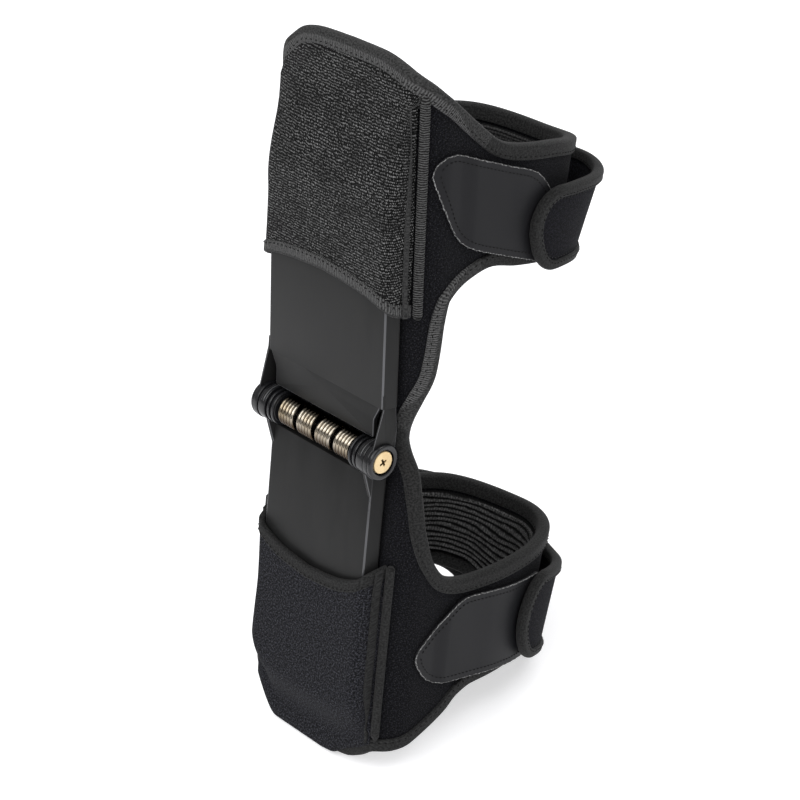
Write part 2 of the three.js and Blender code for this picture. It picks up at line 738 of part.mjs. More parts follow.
// Hard pieces: simple solids, joined and cut
function toManifold(geometry) {
  geometry.deleteAttribute('normal');
  geometry.deleteAttribute('uv');
  const merged = mergeVertices(geometry, 1e-4);
  const vertProperties = new Float32Array(merged.attributes.position.array);
  const triVerts = new Uint32Array(merged.index.array);
  return new wasm.Manifold(new wasm.Mesh({ numProp: 3, vertProperties, triVerts }));
}
function fromManifold(m) {
  const mesh = m.getMesh();
  const g = new THREE.BufferGeometry();
  g.setAttribute('position', new THREE.BufferAttribute(new Float32Array(mesh.vertProperties), 3));
  g.setIndex(Array.from(mesh.triVerts));
  return g;
}
function extruded(points, depth) {
  const shape = new THREE.Shape(points.map(([a, b]) => new THREE.Vector2(a, b)));
  return new THREE.ExtrudeGeometry(shape, { depth, bevelEnabled: false });
}
const TO_X = new THREE.Matrix4().makeBasis(
  new THREE.Vector3(0, 1, 0), new THREE.Vector3(0, 0, 1), new THREE.Vector3(1, 0, 0));
const alongZ = (points, z0, z1) => toManifold(extruded(points, z1 - z0).translate(0, 0, z0));
const alongX = (points, x0, x1) => toManifold(extruded(points, x1 - x0).applyMatrix4(TO_X).translate(x0, 0, 0));
const alongY = (points, y0, y1) => toManifold(extruded(points, y1 - y0).rotateX(90 * rad).translate(0, y1, 0));
const pinShape = (r, x0, x1, sides) => (
  new THREE.CylinderGeometry(r, r, x1 - x0, sides).rotateZ(90 * rad).translate((x0 + x1) / 2, 0, 0));
const pin = (r, x0, x1, sides) => toManifold(pinShape(r, x0, x1, sides));
const slab = (wide, deep, high, y, z) => (
  toManifold(new THREE.BoxGeometry(wide, deep, high).translate(0, y + deep / 2, z + high / 2)));
const mirrored = (side) => (a, b) => (side > 0 ? [a, b] : [-b, -a]);

// Channel section of a plate: face in front, side walls flaring to the back
function shell(half, z0, z1) {
  const back = half + PLATE_FLARE;
  const w = PLATE_WALL;
  const right = [[half, 0], [back, PLATE_DEPTH], [back - w, PLATE_DEPTH], [half - w, w]];
  const left = right.map(([x, y]) => [-x, y]).reverse();
  return alongZ([...right, ...left], z0, z1);
}

// Ear of a plate seen from the side: round about the shaft, running up the side wall as a gusset
const EAR_ARC = 158;
const GUSSET_OVERLAP = 6;
function earProfile(up, gusset, foot) {
  const points = [];
  for (let i = 0; i <= 10; i += 1) {
    const a = (-EAR_ARC + (i / 10) * EAR_ARC * 1.14) * rad;
    points.push([EYE_R * Math.cos(a), up * EYE_R * Math.sin(a)]);
  }
  const top = up * (gusset + GUSSET_OVERLAP);
  points.push([PLATE_DEPTH, up * foot], [PLATE_DEPTH, top], [0.2, top], [0.2, up * gusset]);
  return points;
}
function thighPlate() {
  let body = shell(THIGH_HALF, THIGH_FOOT, THIGH_TOP);
  body = body.add(slab(2 * THIGH_HALF - 1, PLATE_DEPTH, PLATE_WALL, 0, THIGH_TOP - PLATE_WALL));
  const inner = THIGH_HALF - NOTCH_IN;
  const outer = THIGH_HALF + 9;
  const notch = [
    [inner, -1], [outer, -1], [outer, NOTCH_TOP],
    [THIGH_HALF - NOTCH_LIP, NOTCH_TOP], [inner, NOTCH_TOP - NOTCH_SLANT],
  ];
  for (const side of [-1, 1]) {
    const x = mirrored(side);
    body = body.subtract(alongY(notch.map(([a, z]) => [side * a, z]), -CUT_OUT, CUT_OUT));
    body = body.add(alongX(earProfile(1, THIGH_GUSSET, 14), ...x(THIGH_HALF + 0.1, THIGH_HALF + 0.1 + WEB)));
    body = body.add(pin(EYE_R, ...x(BOSS_IN, BOSS_OUT), 16));
    body = body.subtract(pin(BORE_R, ...x(SHIN_EYE_IN, CUT_OUT), 12));
    body = body.subtract(pin(SCREW_R + GAP, ...x(BOSS_OUT - SCREW_SINK - SCREW_T - GAP, CUT_OUT), 16));
  }
  return fromManifold(body);
}
function shinPlate() {
  let body = shell(SHIN_HALF, -SHIN_END, -SHIN_HEAD);
  body = body.add(slab(2 * SHIN_HALF - 1, PLATE_DEPTH, PLATE_WALL, 0, -SHIN_END));
  for (const side of [-1, 1]) {
    const x = mirrored(side);
    body = body.add(alongX(earProfile(-1, SHIN_GUSSET, 12), ...x(SHIN_HALF - WEB, SHIN_HALF)));
    body = body.add(pin(EYE_R - GAP, ...x(SHIN_EYE_IN, SHIN_EYE_OUT), 16));
    body = body.add(pin(KNUCKLE_R, ...x(KNUCKLE_IN, SHIN_EYE_IN + 0.2), 12));
    for (const at of RIBS) body = body.add(pin(RIB_R, ...x(at, at + RIB_W), 12));
  }
  return fromManifold(body.subtract(pin(BORE_R, -CUT_OUT, CUT_OUT, 12)));
}
const CROSS = [20, 110];
const SLOT = { wide: 5.4, thin: 1, deep: 1.6 };
function screw(side) {
  const face = BOSS_OUT - SCREW_SINK;
  let head = pin(SCREW_R, ...mirrored(side)(face - SCREW_T, face), 16);
  for (const turn of CROSS) {
    const slot = new THREE.BoxGeometry(SLOT.deep, SLOT.wide, SLOT.thin).rotateX(turn * rad);
    head = head.subtract(toManifold(slot.translate(side * (face - SLOT.deep / 4), 0, 0)));
  }
  return fromManifold(head);
}
function spring(at, hand) {
  const points = [];
  const steps = TURNS * 7;
  const start = at - (hand * TURNS * PITCH) / 2;
  for (let i = 0; i <= steps; i += 1) {
    const a = (i / steps) * TURNS * 2 * Math.PI;
    const x = start + hand * PITCH * TURNS * (i / steps);
    points.push(new THREE.Vector3(x, COIL_R * Math.cos(a), COIL_R * Math.sin(a)));
  }
  const low = COIL_R - Math.tan(SHIN_TILT * rad) * LEG;
  const high = COIL_R + Math.tan(THIGH_TILT * rad) * LEG;
  points.unshift(new THREE.Vector3(start, low, -LEG));
  points.push(new THREE.Vector3(points[points.length - 1].x, high, LEG));
  const n = points.length;
  const stations = points.map((p, i) => {
    const tangent = points[Math.min(n - 1, i + 1)].clone().sub(points[Math.max(0, i - 1)]).normalize();
    const along = new THREE.Vector3(1, 0, 0);
    const side = along.clone().addScaledVector(tangent, -along.dot(tangent)).normalize();
    const over = tangent.clone().cross(side);
    return (w, b) => p.clone().addScaledVector(side, w).addScaledVector(over, b);
  });
  const section = [];
  for (let k = 0; k < 5; k += 1) {
    section.push([WIRE_R * Math.cos((k / 5) * 2 * Math.PI), WIRE_R * Math.sin((k / 5) * 2 * Math.PI)]);
  }
  return sweep(stations, section, false);
}

// Finishes
const FINISH = {
  plastic: { color: 0x3c3e41, roughness: 0.5, metalness: 0 },
  steel: { color: 0x8d9092, roughness: 0.35, metalness: 1 },
  spring: { color: 0x94784e, roughness: 0.35, metalness: 1 },
  brass: { color: 0xc9b27c, roughness: 0.3, metalness: 1 },
  plush: { color: 0x191a1f, roughness: 0.95, metalness: 0 },
  knit: { color: 0x222325, roughness: 0.95, metalness: 0 },
  binding: { color: 0x35373a, roughness: 0.9, metalness: 0 },
  lining: { color: 0x2b2d31, roughness: 0.9, metalness: 0 },
  web: { color: 0x1a1c23, roughness: 0.95, metalness: 0 },
  leather: { color: 0x33353a, roughness: 0.55, metalness: 0 },
};

// The bound edges that stand on the floor are pressed flat: it rises to the back in the hinge frame
const floorHeight = -FLOOR_Z * Math.cos(lean);
function press(geometry) {
  const p = geometry.attributes.position;
  for (let i = 0; i < p.count; i += 1) {
    const above = p.getZ(i) * Math.cos(lean) - p.getY(i) * Math.sin(lean) + floorHeight;
    if (WEB_CORNERS.includes(i % SECTION_CORNERS) && above < FOOT_PRESS) {
      p.setY(i, p.getY(i) + above * Math.sin(lean));
      p.setZ(i, p.getZ(i) - above * Math.cos(lean));
    }
  }
  return geometry;
}

// Pieces in the hinge frame: finish, name, shape, lean of a hard plate
const shaftHalf = BOSS_OUT - SCREW_SINK - SCREW_T - 2 * GAP;
const hardPieces = [
  ['plastic', 'thigh_plate', thighPlate(), -THIGH_TILT],
  ['plastic', 'shin_plate', shinPlate(), -SHIN_TILT],
  ['steel', 'hinge_shaft', pinShape(SHAFT_R, -shaftHalf, shaftHalf, 16), 0],
  ['brass', 'hinge_screw_right', screw(1), 0],
  ['brass', 'hinge_screw_left', screw(-1), 0],
  ...SPRING_AT.map((at, i) => ['spring', `spring_${i + 1}`, spring(at, i < 2 ? 1 : -1), 0]),
];
const softPieces = [
  ['plush', 'back_panel', thicken(panel.pattern, panel.faces, panelPlace, PANEL_T / 2, -PANEL_T / 2)],
  ['binding', 'panel_binding', press(binding(panelLoop(), true, panelPlace, PANEL_T, BIND_W))],
  ['lining', 'thigh_lining', lining('thigh')],
  ['lining', 'calf_lining', lining('calf')],
  ['knit', 'thigh_pocket', pocket(POCKETS.thigh)],
  ['knit', 'shin_pocket', pocket(POCKETS.shin)],
  ['binding', 'thigh_hem', hem(POCKETS.thigh)],
  ['binding', 'shin_hem', hem(POCKETS.shin)],
  ...[['left', -1], ['right', 1]].flatMap(([word, side]) => [
    ['binding', `thigh_tape_${word}`, tape(POCKETS.thigh, side)],
    ['binding', `shin_tape_${word}`, tape(POCKETS.shin, side)],
    ['binding', `thigh_piping_${word}`, piping('thigh', POCKETS.thigh, side)],
    ['binding', `shin_piping_${word}`, piping('calf', POCKETS.shin, side)],
    ['leather', `thigh_tab_${word}`, tab('thigh', side)],
    ['leather', `calf_tab_${word}`, tab('calf', side)],
  ]),
  ['web', 'thigh_strap', strap('thigh')],
  ['web', 'calf_strap', strap('calf')],
  ['binding', 'thigh_strap_binding', strapBinding('thigh')],
  ['binding', 'calf_strap_binding', press(strapBinding('calf'))],
];

function piece(finish, name, geometry, tilt) {
  geometry.computeVertexNormals();
  const mesh = new THREE.Mesh(geometry, new THREE.MeshStandardMaterial(FINISH[finish]));
  mesh.name = name;
  mesh.rotation.x = tilt * rad;
  return mesh;
}

// Assembly: leaning back on the floor, footprint centred on the origin
const leaning = new THREE.Group();
leaning.rotation.x = -lean;
hardPieces.forEach(([finish, name, geometry, tilt]) => leaning.add(piece(finish, name, geometry, tilt)));
softPieces.forEach(([finish, name, geometry]) => leaning.add(piece(finish, name, geometry, 0)));
const brace = new THREE.Group();
brace.name = 'spring_knee_brace';
brace.add(leaning);
brace.updateMatrixWorld(true);
const box = new THREE.Box3().setFromObject(leaning, true);
const middle = box.getCenter(new THREE.Vector3());
leaning.position.set(-middle.x, -middle.y, -box.min.z);

export default brace;
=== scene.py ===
"""Looks of the spring knee brace: cloth, plates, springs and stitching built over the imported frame.

Sizes are in mm in the hinge frame (origin in the middle of the hinge shaft, X along it, Y to the
back, Z up); world() leans the brace back on the floor and turns mm into metres.
"""
import math
from functools import partial

import bmesh
import bpy
import numpy as np
from mathutils import Matrix, Vector

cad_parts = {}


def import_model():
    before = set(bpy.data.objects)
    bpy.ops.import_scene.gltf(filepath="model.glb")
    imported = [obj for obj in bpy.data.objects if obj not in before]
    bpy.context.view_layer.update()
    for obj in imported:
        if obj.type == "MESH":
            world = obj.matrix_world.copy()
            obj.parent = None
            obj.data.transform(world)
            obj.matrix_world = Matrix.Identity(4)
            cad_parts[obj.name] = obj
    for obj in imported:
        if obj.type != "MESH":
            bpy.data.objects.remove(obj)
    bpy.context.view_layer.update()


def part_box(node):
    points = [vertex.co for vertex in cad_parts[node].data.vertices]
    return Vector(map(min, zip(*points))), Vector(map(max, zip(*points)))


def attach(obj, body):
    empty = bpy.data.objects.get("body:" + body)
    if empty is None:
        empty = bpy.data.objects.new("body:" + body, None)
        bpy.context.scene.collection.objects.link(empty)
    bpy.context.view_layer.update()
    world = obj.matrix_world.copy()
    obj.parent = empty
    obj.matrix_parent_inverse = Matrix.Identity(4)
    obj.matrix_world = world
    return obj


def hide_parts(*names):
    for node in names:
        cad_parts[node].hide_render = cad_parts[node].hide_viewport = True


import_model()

# Frame
MM = 1000
LEAN = math.radians(4.8)
FLOOR_Z, FOOT_RISE, FOOT_PRESS, FOOT_FLAT = -170.6, 1.9, 2.6, 0.8
shaft_low, shaft_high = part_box("hinge_shaft")
HINGE = np.array((shaft_low + shaft_high) / 2) * MM
SIDES = (("left", -1), ("right", 1))

# Plates and hinge, as in the part
THIGH_TILT, SHIN_TILT = math.radians(2.6), math.radians(6.8)
PLATE_DEPTH, PLATE_WALL, PLATE_FLARE = 7.8, 2.4, 2.0
THIGH_HALF, SHIN_HALF = 40.0, 35.5
THIGH_FOOT, THIGH_TOP, SHIN_HEAD, SHIN_END = 9.8, 112.0, 10.5, 111.0
NOTCH_TOP, NOTCH_IN, NOTCH_LIP, NOTCH_SLANT = 26.0, 5.5, 1.8, 7.0
EYE_R, BOSS_OUT, BOSS_IN, COLLAR_W = 9.1, 42.6, 37.8, 2.2
SHIN_EYE_OUT, SHIN_EYE_IN = 37.3, 32.6
WEB, WEB_GAP, THIGH_GUSSET, SHIN_GUSSET, GUSSET_MORE = 1.8, 0.1, 27.0, 21.0, 6.0
EAR_FROM, EAR_PAST, EAR_FOOT, EAR_FRONT = 158, 1.14, 14, 0.2
SCREW_R, SCREW_T, SCREW_SINK, SCREW_DOME = 5.5, 2.2, 0.5, 0.15
CROSS_TURNS, CROSS_REACH, CROSS_HALF, CROSS_DEEP = np.radians((20, 110)), 2.2, 0.58, 1.5
KNUCKLE_IN, KNUCKLE_R, RIB_R, RIB_W, RIBS_AT = 26.6, 7.3, 8.5, 1.5, (26.8, 29.8)
SPRING_AT = (-19.6, -6.5, 6.5, 19.6)
WIRE_R, COIL_R, TURNS, PITCH, LEG = 0.95, 6.2, 5, 2.08, 13.0
SHAFT_R, GROOVE = 4.0, 0.12

# Cloth
PANEL_T, PANEL_SET, POCKET_T, TAB_T, STRAP_T = 3.5, 11.5, 1.5, 1.6, 2.4
BIND_W, BIND_T, BIND_GAP, BIND_NOSE, FOLD_GAP = 6.0, 0.8, 0.68, 1.1, 0.15
FLAT, BEND, WAIST_Z, WAIST_S = 37.0, 13.0, 7.0, 42.0
HALF = FLAT + BEND
LEFT_END = {"thigh": -104.0, "calf": -112.0}
RIGHT_END = {"thigh": 306.0, "calf": 322.0}
SWELL, SWELL_ALONG, SWELL_UP, SWELL_INSIDE = 0.35, 17.0, 23.0, 0.3

# Lean of the panel's middle: height, set back
PROFILE = ((-195, -10.8), (-140, -5.2), (-100, -0.6), (-60, 4.2), (-25, 9.2), (0, 13), (25, 13.6),
           (75, 15), (150, 18.3), (195, 20.3))
CUFFS = {
    "thigh": dict(side=55, tip=122.5, inset=5.6, end=30, cone=0.15, mid=120,
                  slack=8, strap_cone=0.46, strap_mid=88),
    "calf": dict(side=56, tip=129.6, inset=5.6, end=30, cone=0.13, mid=-90,
                 slack=2, strap_cone=0.19, strap_mid=-118),
}
CONE_FROM, WING_MORE = 10, 3
# Edges of the panel: distance from the middle, height
UPPER = {
    "thigh": ((0, 188), (20, 187), (38, 182.5), (48, 177.5), (57, 169.5), (73, 154.6), (87, 143.4),
              (97, 139), (125, 131.4), (150, 123.5), (192, 113.5), (235, 120.5), (320, 127)),
    "calf": ((0, 7), (42, 7), (42.45, 4), (44.2, -1), (48, -9), (51, -21), (55.2, -42), (61.5, -58.5),
             (71.4, -71), (80, -75.4), (90, -78), (125, -82), (160, -87), (200, -90.6), (245, -81),
             (330, -69)),
}
LOWER = {
    "thigh": ((0, 7), (42, 7), (42.45, 10.5), (44.6, 18), (48.6, 28), (53.4, 40), (55.4, 52), (57, 66),
              (60, 76.5), (72, 83.4), (84, 85.4), (104, 80.6), (150, 69.4), (192, 61.6), (235, 65),
              (320, 71)),
    "calf": ((0, -170.6), (25, -168.2), (35, -163.6), (42, -158), (50, -156), (64, -152), (80, -145.4),
             (88, -139.6), (98, -137.2), (112, -138), (150, -142), (200, -145.4), (224, -133.4),
             (246, -127.4), (330, -124)),
}
EDGE_TILT, LEFT_ROUND, LEFT_DROP, LEFT_RISE = 0.05, 9.0, 6.0, 10.0


def table(rows, x, column=1):
    """Height at x on the smooth curve through the rows: cubic pieces whose slope at a row is the
    harmonic mean of its two neighbouring slopes, or zero where they differ in sign."""
    xs = np.array([r[0] for r in rows], float)
    ys = np.array([r[column] for r in rows], float)
    slope = np.diff(ys) / np.diff(xs)
    knot = np.empty(len(xs))
    knot[0], knot[-1] = slope[0], slope[-1]
    a, b = slope[:-1], slope[1:]
    together = np.where(a * b > 0, a + b, 1)
    knot[1:-1] = np.where(a * b > 0, 2 * a * b / together, 0)
    x = np.clip(np.asarray(x, float), xs[0], xs[-1])
    i = np.clip(np.searchsorted(xs, x, side="left") - 1, 0, len(xs) - 2)
    h = xs[i + 1] - xs[i]
    t = (x - xs[i]) / h
    return ((2 * t**3 - 3 * t**2 + 1) * ys[i] + (t**3 - 2 * t**2 + t) * h * knot[i]
            + (3 * t**2 - 2 * t**3) * ys[i + 1] + (t**3 - t**2) * h * knot[i + 1])


def smooth(v):
    """Rise from 0 to 1 with level ends: three squares less two cubes of v kept within 0 and 1."""
    v = np.clip(v, 0, 1)
    return v * v * (3 - 2 * v)


def rise(v, start, length):
    """Smooth rise with v: 0 up to the start, 1 from a length past it."""
    return smooth((v - start) / length)


def fade(s, a, b):
    """One near the middle, falling to zero between distances a and b."""
    return 1 - rise(np.abs(s), a, b - a)


def unit(v):
    """Each vector over its own length."""
    return v / np.linalg.norm(v, axis=-1, keepdims=True)


def running(points):
    """Distance of each point from the first one, summed step by step along the run."""
    return np.concatenate([[0], np.cumsum(np.linalg.norm(np.diff(points, axis=0), axis=1))])


def circle(steps):
    """Even angles round a full turn."""
    return np.linspace(0, 2 * math.pi, steps + 1)[:-1]


def spaced(a, b, step):
    """Even stations from a to b about step apart."""
    return np.linspace(a, b, max(2, int(round(abs(b - a) / step)) + 1))


def strip(s, low, high, shares):
    """Net between two edges over stations s: distance and height at each share of the way up."""
    z = low[:, None] + (high - low)[:, None] * shares
    return np.broadcast_to(s[:, None], z.shape), z


def crossed(a, b):
    """Flat coordinates of a net: a along its first way, b along its second."""
    return np.stack(np.broadcast_arrays(a[:, None], b), -1)


def leaned(angle, x, y, z):
    """Points turned about X: y cos + z sin, z cos - y sin, so that the top goes back."""
    x, y, z = np.broadcast_arrays(x, y, z)
    return np.stack([x, y * math.cos(angle) + z * math.sin(angle),
                     -y * math.sin(angle) + z * math.cos(angle)], -1)


def world(p):
    """From mm in the hinge frame to metres in the row's frame: lean back about X, then move."""
    return (leaned(LEAN, *np.moveaxis(np.asarray(p, float), -1, 0)) + HINGE) / MM


def setback(z):
    """How far the panel's middle lies behind the shaft at height z."""
    return table(PROFILE, z)


def path(points):
    """Point at a measured distance along a run of straight steps; past the end it goes straight on."""
    points = np.array(points, float)
    at = running(points)

    def along(s):
        """The step that holds s, and the share of it that s has gone."""
        i = np.clip(np.searchsorted(at, s, side="left") - 1, 0, len(at) - 2)
        t = ((s - at[i]) / (at[i + 1] - at[i]))[..., None]
        return points[i] + t * (points[i + 1] - points[i])
    return along


def arc(cx, half, start_y, deep, a, b, steps):
    """Points on an ellipse about (cx, start_y), half wide and deep long, from angle a to b."""
    t = np.linspace(a, b, steps + 1)
    return [(cx + half * math.cos(k), start_y + deep * math.sin(k)) for k in t]


def cuff_plans(c):
    """A cuff from above, from the middle of its front: the band to the right, the wing to the left."""
    deep = c["tip"] - c["side"]
    front = [(0, 0)] + arc(FLAT, BEND, BEND, BEND, -math.pi / 2, 0, 24)
    band = arc(c["inset"] / 2, HALF - c["inset"] / 2, c["side"], deep, 0, math.pi, 160)
    wing = arc(0, HALF, c["side"], deep + WING_MORE, 0, math.pi / 2, 80)
    return path(front + band + [(c["inset"] - HALF, c["end"])]), path(front + wing)


PLANS = {name: cuff_plans(c) for name, c in CUFFS.items()}


def panel_at(name, s, z):
    """Middle surface of the panel: the cuff's plan at distance s, set back and widened with height z."""
    c = CUFFS[name]
    s, z = np.broadcast_arrays(np.asarray(s, float), np.asarray(z, float))
    right, left = PLANS[name]
    xd = np.where((s >= 0)[..., None], right(np.maximum(s, 0)), left(np.maximum(-s, 0)) * (-1, 1))
    back = rise(xd[..., 1], CONE_FROM, c["tip"] - CONE_FROM)
    y = setback(z) + xd[..., 1] + c["cone"] * (z - c["mid"]) * back
    return np.stack([xd[..., 0], y, z], -1)


def offset(surface, s, z, out, step=0.8):
    """Point out mm off a surface, along its normal: the cross product of two small steps on it."""
    ds = surface(s + step, z) - surface(s - step, z)
    dz = surface(s, z + step) - surface(s, z - step)
    return surface(s, z) + unit(np.cross(ds, dz)) * np.asarray(out, float)[..., None]


def on_panel(name):
    """Placing function of a cuff: distance, height and offset to a point."""
    return partial(offset, partial(panel_at, name))


def panel_place(s, z, out):
    """The whole panel's placing function: thigh plan above the waist, calf plan below."""
    up, down = (on_panel(name)(s, z, out) for name in CUFFS)
    return np.where((z >= WAIST_Z)[..., None], up, down)


def top_tilt(s):
    """Rise of the top edge to the right, drop of its left corner."""
    drop = (LEFT_DROP * rise(-s, 30, 15) + LEFT_ROUND * rise(-s, 41, 9)) * fade(s, 55, 95)
    return np.where(s < 0, -drop, EDGE_TILT * s * fade(s, 45, 95))


def tongue_tilt(s):
    """Tilt of the tongue's lower edge, up to the right, and rise of its rounded left corner."""
    return EDGE_TILT * s * fade(s, 30, 60) + LEFT_RISE * rise(-s, 26, 20) * fade(s, 60, 95)


def end_round(name, s):
    """Rounded corner of the left wing: a quarter circle at its end."""
    rest = np.clip(LEFT_ROUND - (s - LEFT_END[name]), 0, LEFT_ROUND)
    return LEFT_ROUND - np.sqrt(LEFT_ROUND**2 - rest**2)


def upper(name, s):
    """Upper edge of a cuff at distance s."""
    tilt = top_tilt(s) if name == "thigh" else 0
    return table(UPPER[name], np.abs(s)) + tilt - end_round(name, s)


def lower(name, s):
    """Lower edge of a cuff at distance s; the calf's is tilted and kept above the floor."""
    z = table(LOWER[name], np.abs(s))
    if name == "calf":
        z = z + tongue_tilt(s)
        z = np.maximum(z, FLOOR_Z + setback(z) * math.tan(LEAN) + FOOT_RISE)
    return z + end_round(name, s)


# Meshes
SEAM = 2e-6


class Shape:
    """Corners, faces and flat coordinates of one piece, gathered part by part."""

    def __init__(self):
        """Starts with no parts and no corners."""
        self.parts, self.count = [], 0

    def add(self, corners, faces, flat, kinds=0, rounded=True):
        """Takes in corners and faces of four: their flat coordinates, material's place and shading."""
        n = len(faces)
        self.parts.append((corners, faces, flat, np.broadcast_to(kinds, n), np.full(n, rounded)))
        self.count += len(corners)
        return self

    def grid(self, points, flat=None, wrap=False, kind=0):
        """Adds a net of corners (n, m, 3) with flat coordinates (n, m, 2); wrap closes the second way, and
        kind is the place of the material in the list: one number, one for each row or one for each face."""
        n, m = points.shape[:2]
        flat = np.zeros((n, m, 2)) if flat is None else flat
        index = np.arange(n * m).reshape(n, m) + self.count
        if wrap:
            index = np.concatenate([index, index[:, :1]], 1)
            flat = np.concatenate([flat, flat[:, -1:] + (flat[:, -1:] - flat[:, -2:-1])], 1)
        quads, marks = (np.stack([a[:-1, :-1], a[1:, :-1], a[1:, 1:], a[:-1, 1:]], 2) for a in (index, flat))
        kind = np.asarray(kind)
        kind = kind if kind.ndim == 2 else kind.reshape(-1, 1)
        kinds = np.broadcast_to(kind, quads.shape[:2]).ravel()
        return self.add(points.reshape(-1, 3), quads.reshape(-1, 4), marks.reshape(-1, 4, 2), kinds)

    def shell(self, outer, inner, flat):
        """Adds a closed wall: an outer and an inner net of the same size, joined round their rims."""
        first, (n, m) = self.count, outer.shape[:2]
        self.grid(outer, flat).grid(inner, flat)
        i = np.arange(n * m).reshape(n, m)
        ring = np.concatenate([i[:-1, 0], i[-1, :-1], i[:0:-1, -1], i[0, :0:-1]])
        ahead = np.roll(ring, -1)
        quads = np.stack([ahead, ring, ring + n * m, ahead + n * m], -1) + first
        marks = flat.reshape(-1, 2)[np.stack([ahead, ring, ring, ahead], -1)]
        return self.add(np.zeros((0, 3)), quads, marks)

    def cap(self, ring):
        """Closes a ring of corners with a flat fan about its middle."""
        n = len(ring)
        k = np.arange(n) + self.count
        middle = np.full(n, self.count + n)
        fan = np.stack([k, np.roll(k, -1), middle, middle], -1)
        corners = np.concatenate([ring, ring.mean(0)[None]])
        return self.add(corners, fan, np.zeros((n, 4, 2)), rounded=False)

    def rod(self, rings, along, across):
        """Adds a tube of rings with flat ends, and its flat coordinates along and across."""
        return self.grid(rings, crossed(along, across), wrap=True).cap(rings[0]).cap(rings[-1])

    def build(self, name, materials, slot, node=None, sharp=60):
        """Makes the object: mm to metres, outward faces, smooth shading up to the sharp angle. Corners
        that meet become one, and a wall that two parts share goes. It stands for the node, if given."""
        corners, faces, flat, kinds, rounded = (np.concatenate(part) for part in zip(*self.parts))
        mesh = bpy.data.meshes.new(name)
        lists = [tuple(dict.fromkeys(f)) for f in faces.tolist()]
        mesh.from_pydata(world(corners).tolist(), [], lists)
        keep = np.concatenate([m[:len(f)] for m, f in zip(flat / MM, lists)])
        mesh.uv_layers.new(name="flat").data.foreach_set("uv", keep.astype(np.float32).ravel())
        mesh.polygons.foreach_set("use_smooth", rounded)
        mesh.polygons.foreach_set("material_index", kinds.astype(np.int32))
        joined = bmesh.new()
        joined.from_mesh(mesh)
        bmesh.ops.remove_doubles(joined, verts=joined.verts, dist=SEAM)
        walls = [f for f in joined.faces if sum(len(e.link_faces) > 2 for e in f.edges) > 1]
        bmesh.ops.delete(joined, geom=walls, context="FACES")
        bmesh.ops.recalc_face_normals(joined, faces=joined.faces)
        joined.to_mesh(mesh)
        joined.free()
        mesh.set_sharp_from_angle(angle=math.radians(sharp))
        for material in materials:
            mesh.materials.append(material)
        mesh.update()
        made = bpy.data.objects.new(name, mesh)
        bpy.context.scene.collection.objects.link(made)
        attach(made, "root")
        if node:
            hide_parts(node)
        return made


def measure(points):
    """Running length along the first way of a net, from its middle column."""
    return running(points[:, points.shape[1] // 2])


def sew(made, net):
    """Works out the longest row of a cloth's net each way, in metres, but keeps nothing of it; returns the
    cloth as it is."""
    ways = [np.linalg.norm(np.diff(net, axis=k), axis=2).sum(k).max() / MM for k in (0, 1)]
    return made


def rounded(corners, r, steps=4):
    """Closed outline with each corner replaced by an arc that starts and ends r from it, or at 0.45
    of a short side."""
    out = []
    n = len(corners)
    for i in range(n):
        p, q, s = (np.array(corners[(i + k) % n], float) for k in (-1, 0, 1))
        ra = min(r, np.linalg.norm(p - q) * 0.45, np.linalg.norm(s - q) * 0.45)
        a, b = q + unit(p - q) * ra, q + unit(s - q) * ra
        for t in np.linspace(0, 1, steps + 1):
            out.append((1 - t)**2 * a + 2 * t * (1 - t) * q + t * t * b)
    return np.array(out)


def fold(width, inner, outer, nose):
    """Section of a folded tape: up one side, round the nose, back on the other, then the inside."""
    top = [(width, inner), (width - 0.1, outer - 0.2), (width - 0.5, outer)]
    top += [(w, outer) for w in np.linspace(width - 1.2, 0.9, 5)]
    bend = [(0.5 - (nose + 0.5) * math.sin(a), outer * math.cos(a))
            for a in np.linspace(0.2, math.pi - 0.2, 11)]
    below = [(w, -b) for w, b in reversed(top)]
    back = [(w, -inner) for w in np.linspace(width - 1, 0.4, 4)]
    back += [(w, inner) for w in np.linspace(0.4, width - 1, 4)]
    return np.array(top + bend + below + back)


def inward(loop, spread=2):
    """Unit steps into a flat outline, square to it, averaged over a few neighbours."""
    area = np.sum(loop[:, 0] * np.roll(loop[:, 1], -1) - np.roll(loop[:, 0], -1) * loop[:, 1])
    d = np.roll(loop, -1, 0) - np.roll(loop, 1, 0)
    n = np.stack([-d[:, 1], d[:, 0]], -1) * np.sign(area)
    n /= np.maximum(1e-9, np.linalg.norm(n, axis=1, keepdims=True))
    return unit(sum(np.roll(n, k, 0) for k in range(-spread, spread + 1)))


def even(loop, step):
    """The closed outline resampled at even steps along its length."""
    ring = np.concatenate([loop, loop[:1]])
    at = running(ring)
    s = np.linspace(0, at[-1], int(at[-1] / step), endpoint=False)
    return np.stack([np.interp(s, at, ring[:, k]) for k in (0, 1)], -1)


def round_trip(s, low, high):
    """Outline that goes out along the upper edge and back along the lower one."""
    return np.concatenate([np.stack([s, high], -1), np.stack([s, low], -1)[::-1]])


def stations(name, step, steep_end=60, steep_step=0.45, front_step=2):
    """Stations round a cuff, closer where the edge runs steeply beside the waist."""
    steep = spaced(WAIST_S, steep_end, steep_step)
    lots = [spaced(LEFT_END[name], -steep_end, step), -steep, spaced(-WAIST_S, WAIST_S, front_step), steep,
            spaced(steep_end, RIGHT_END[name], step)]
    return np.unique(np.round(np.concatenate(lots), 4))


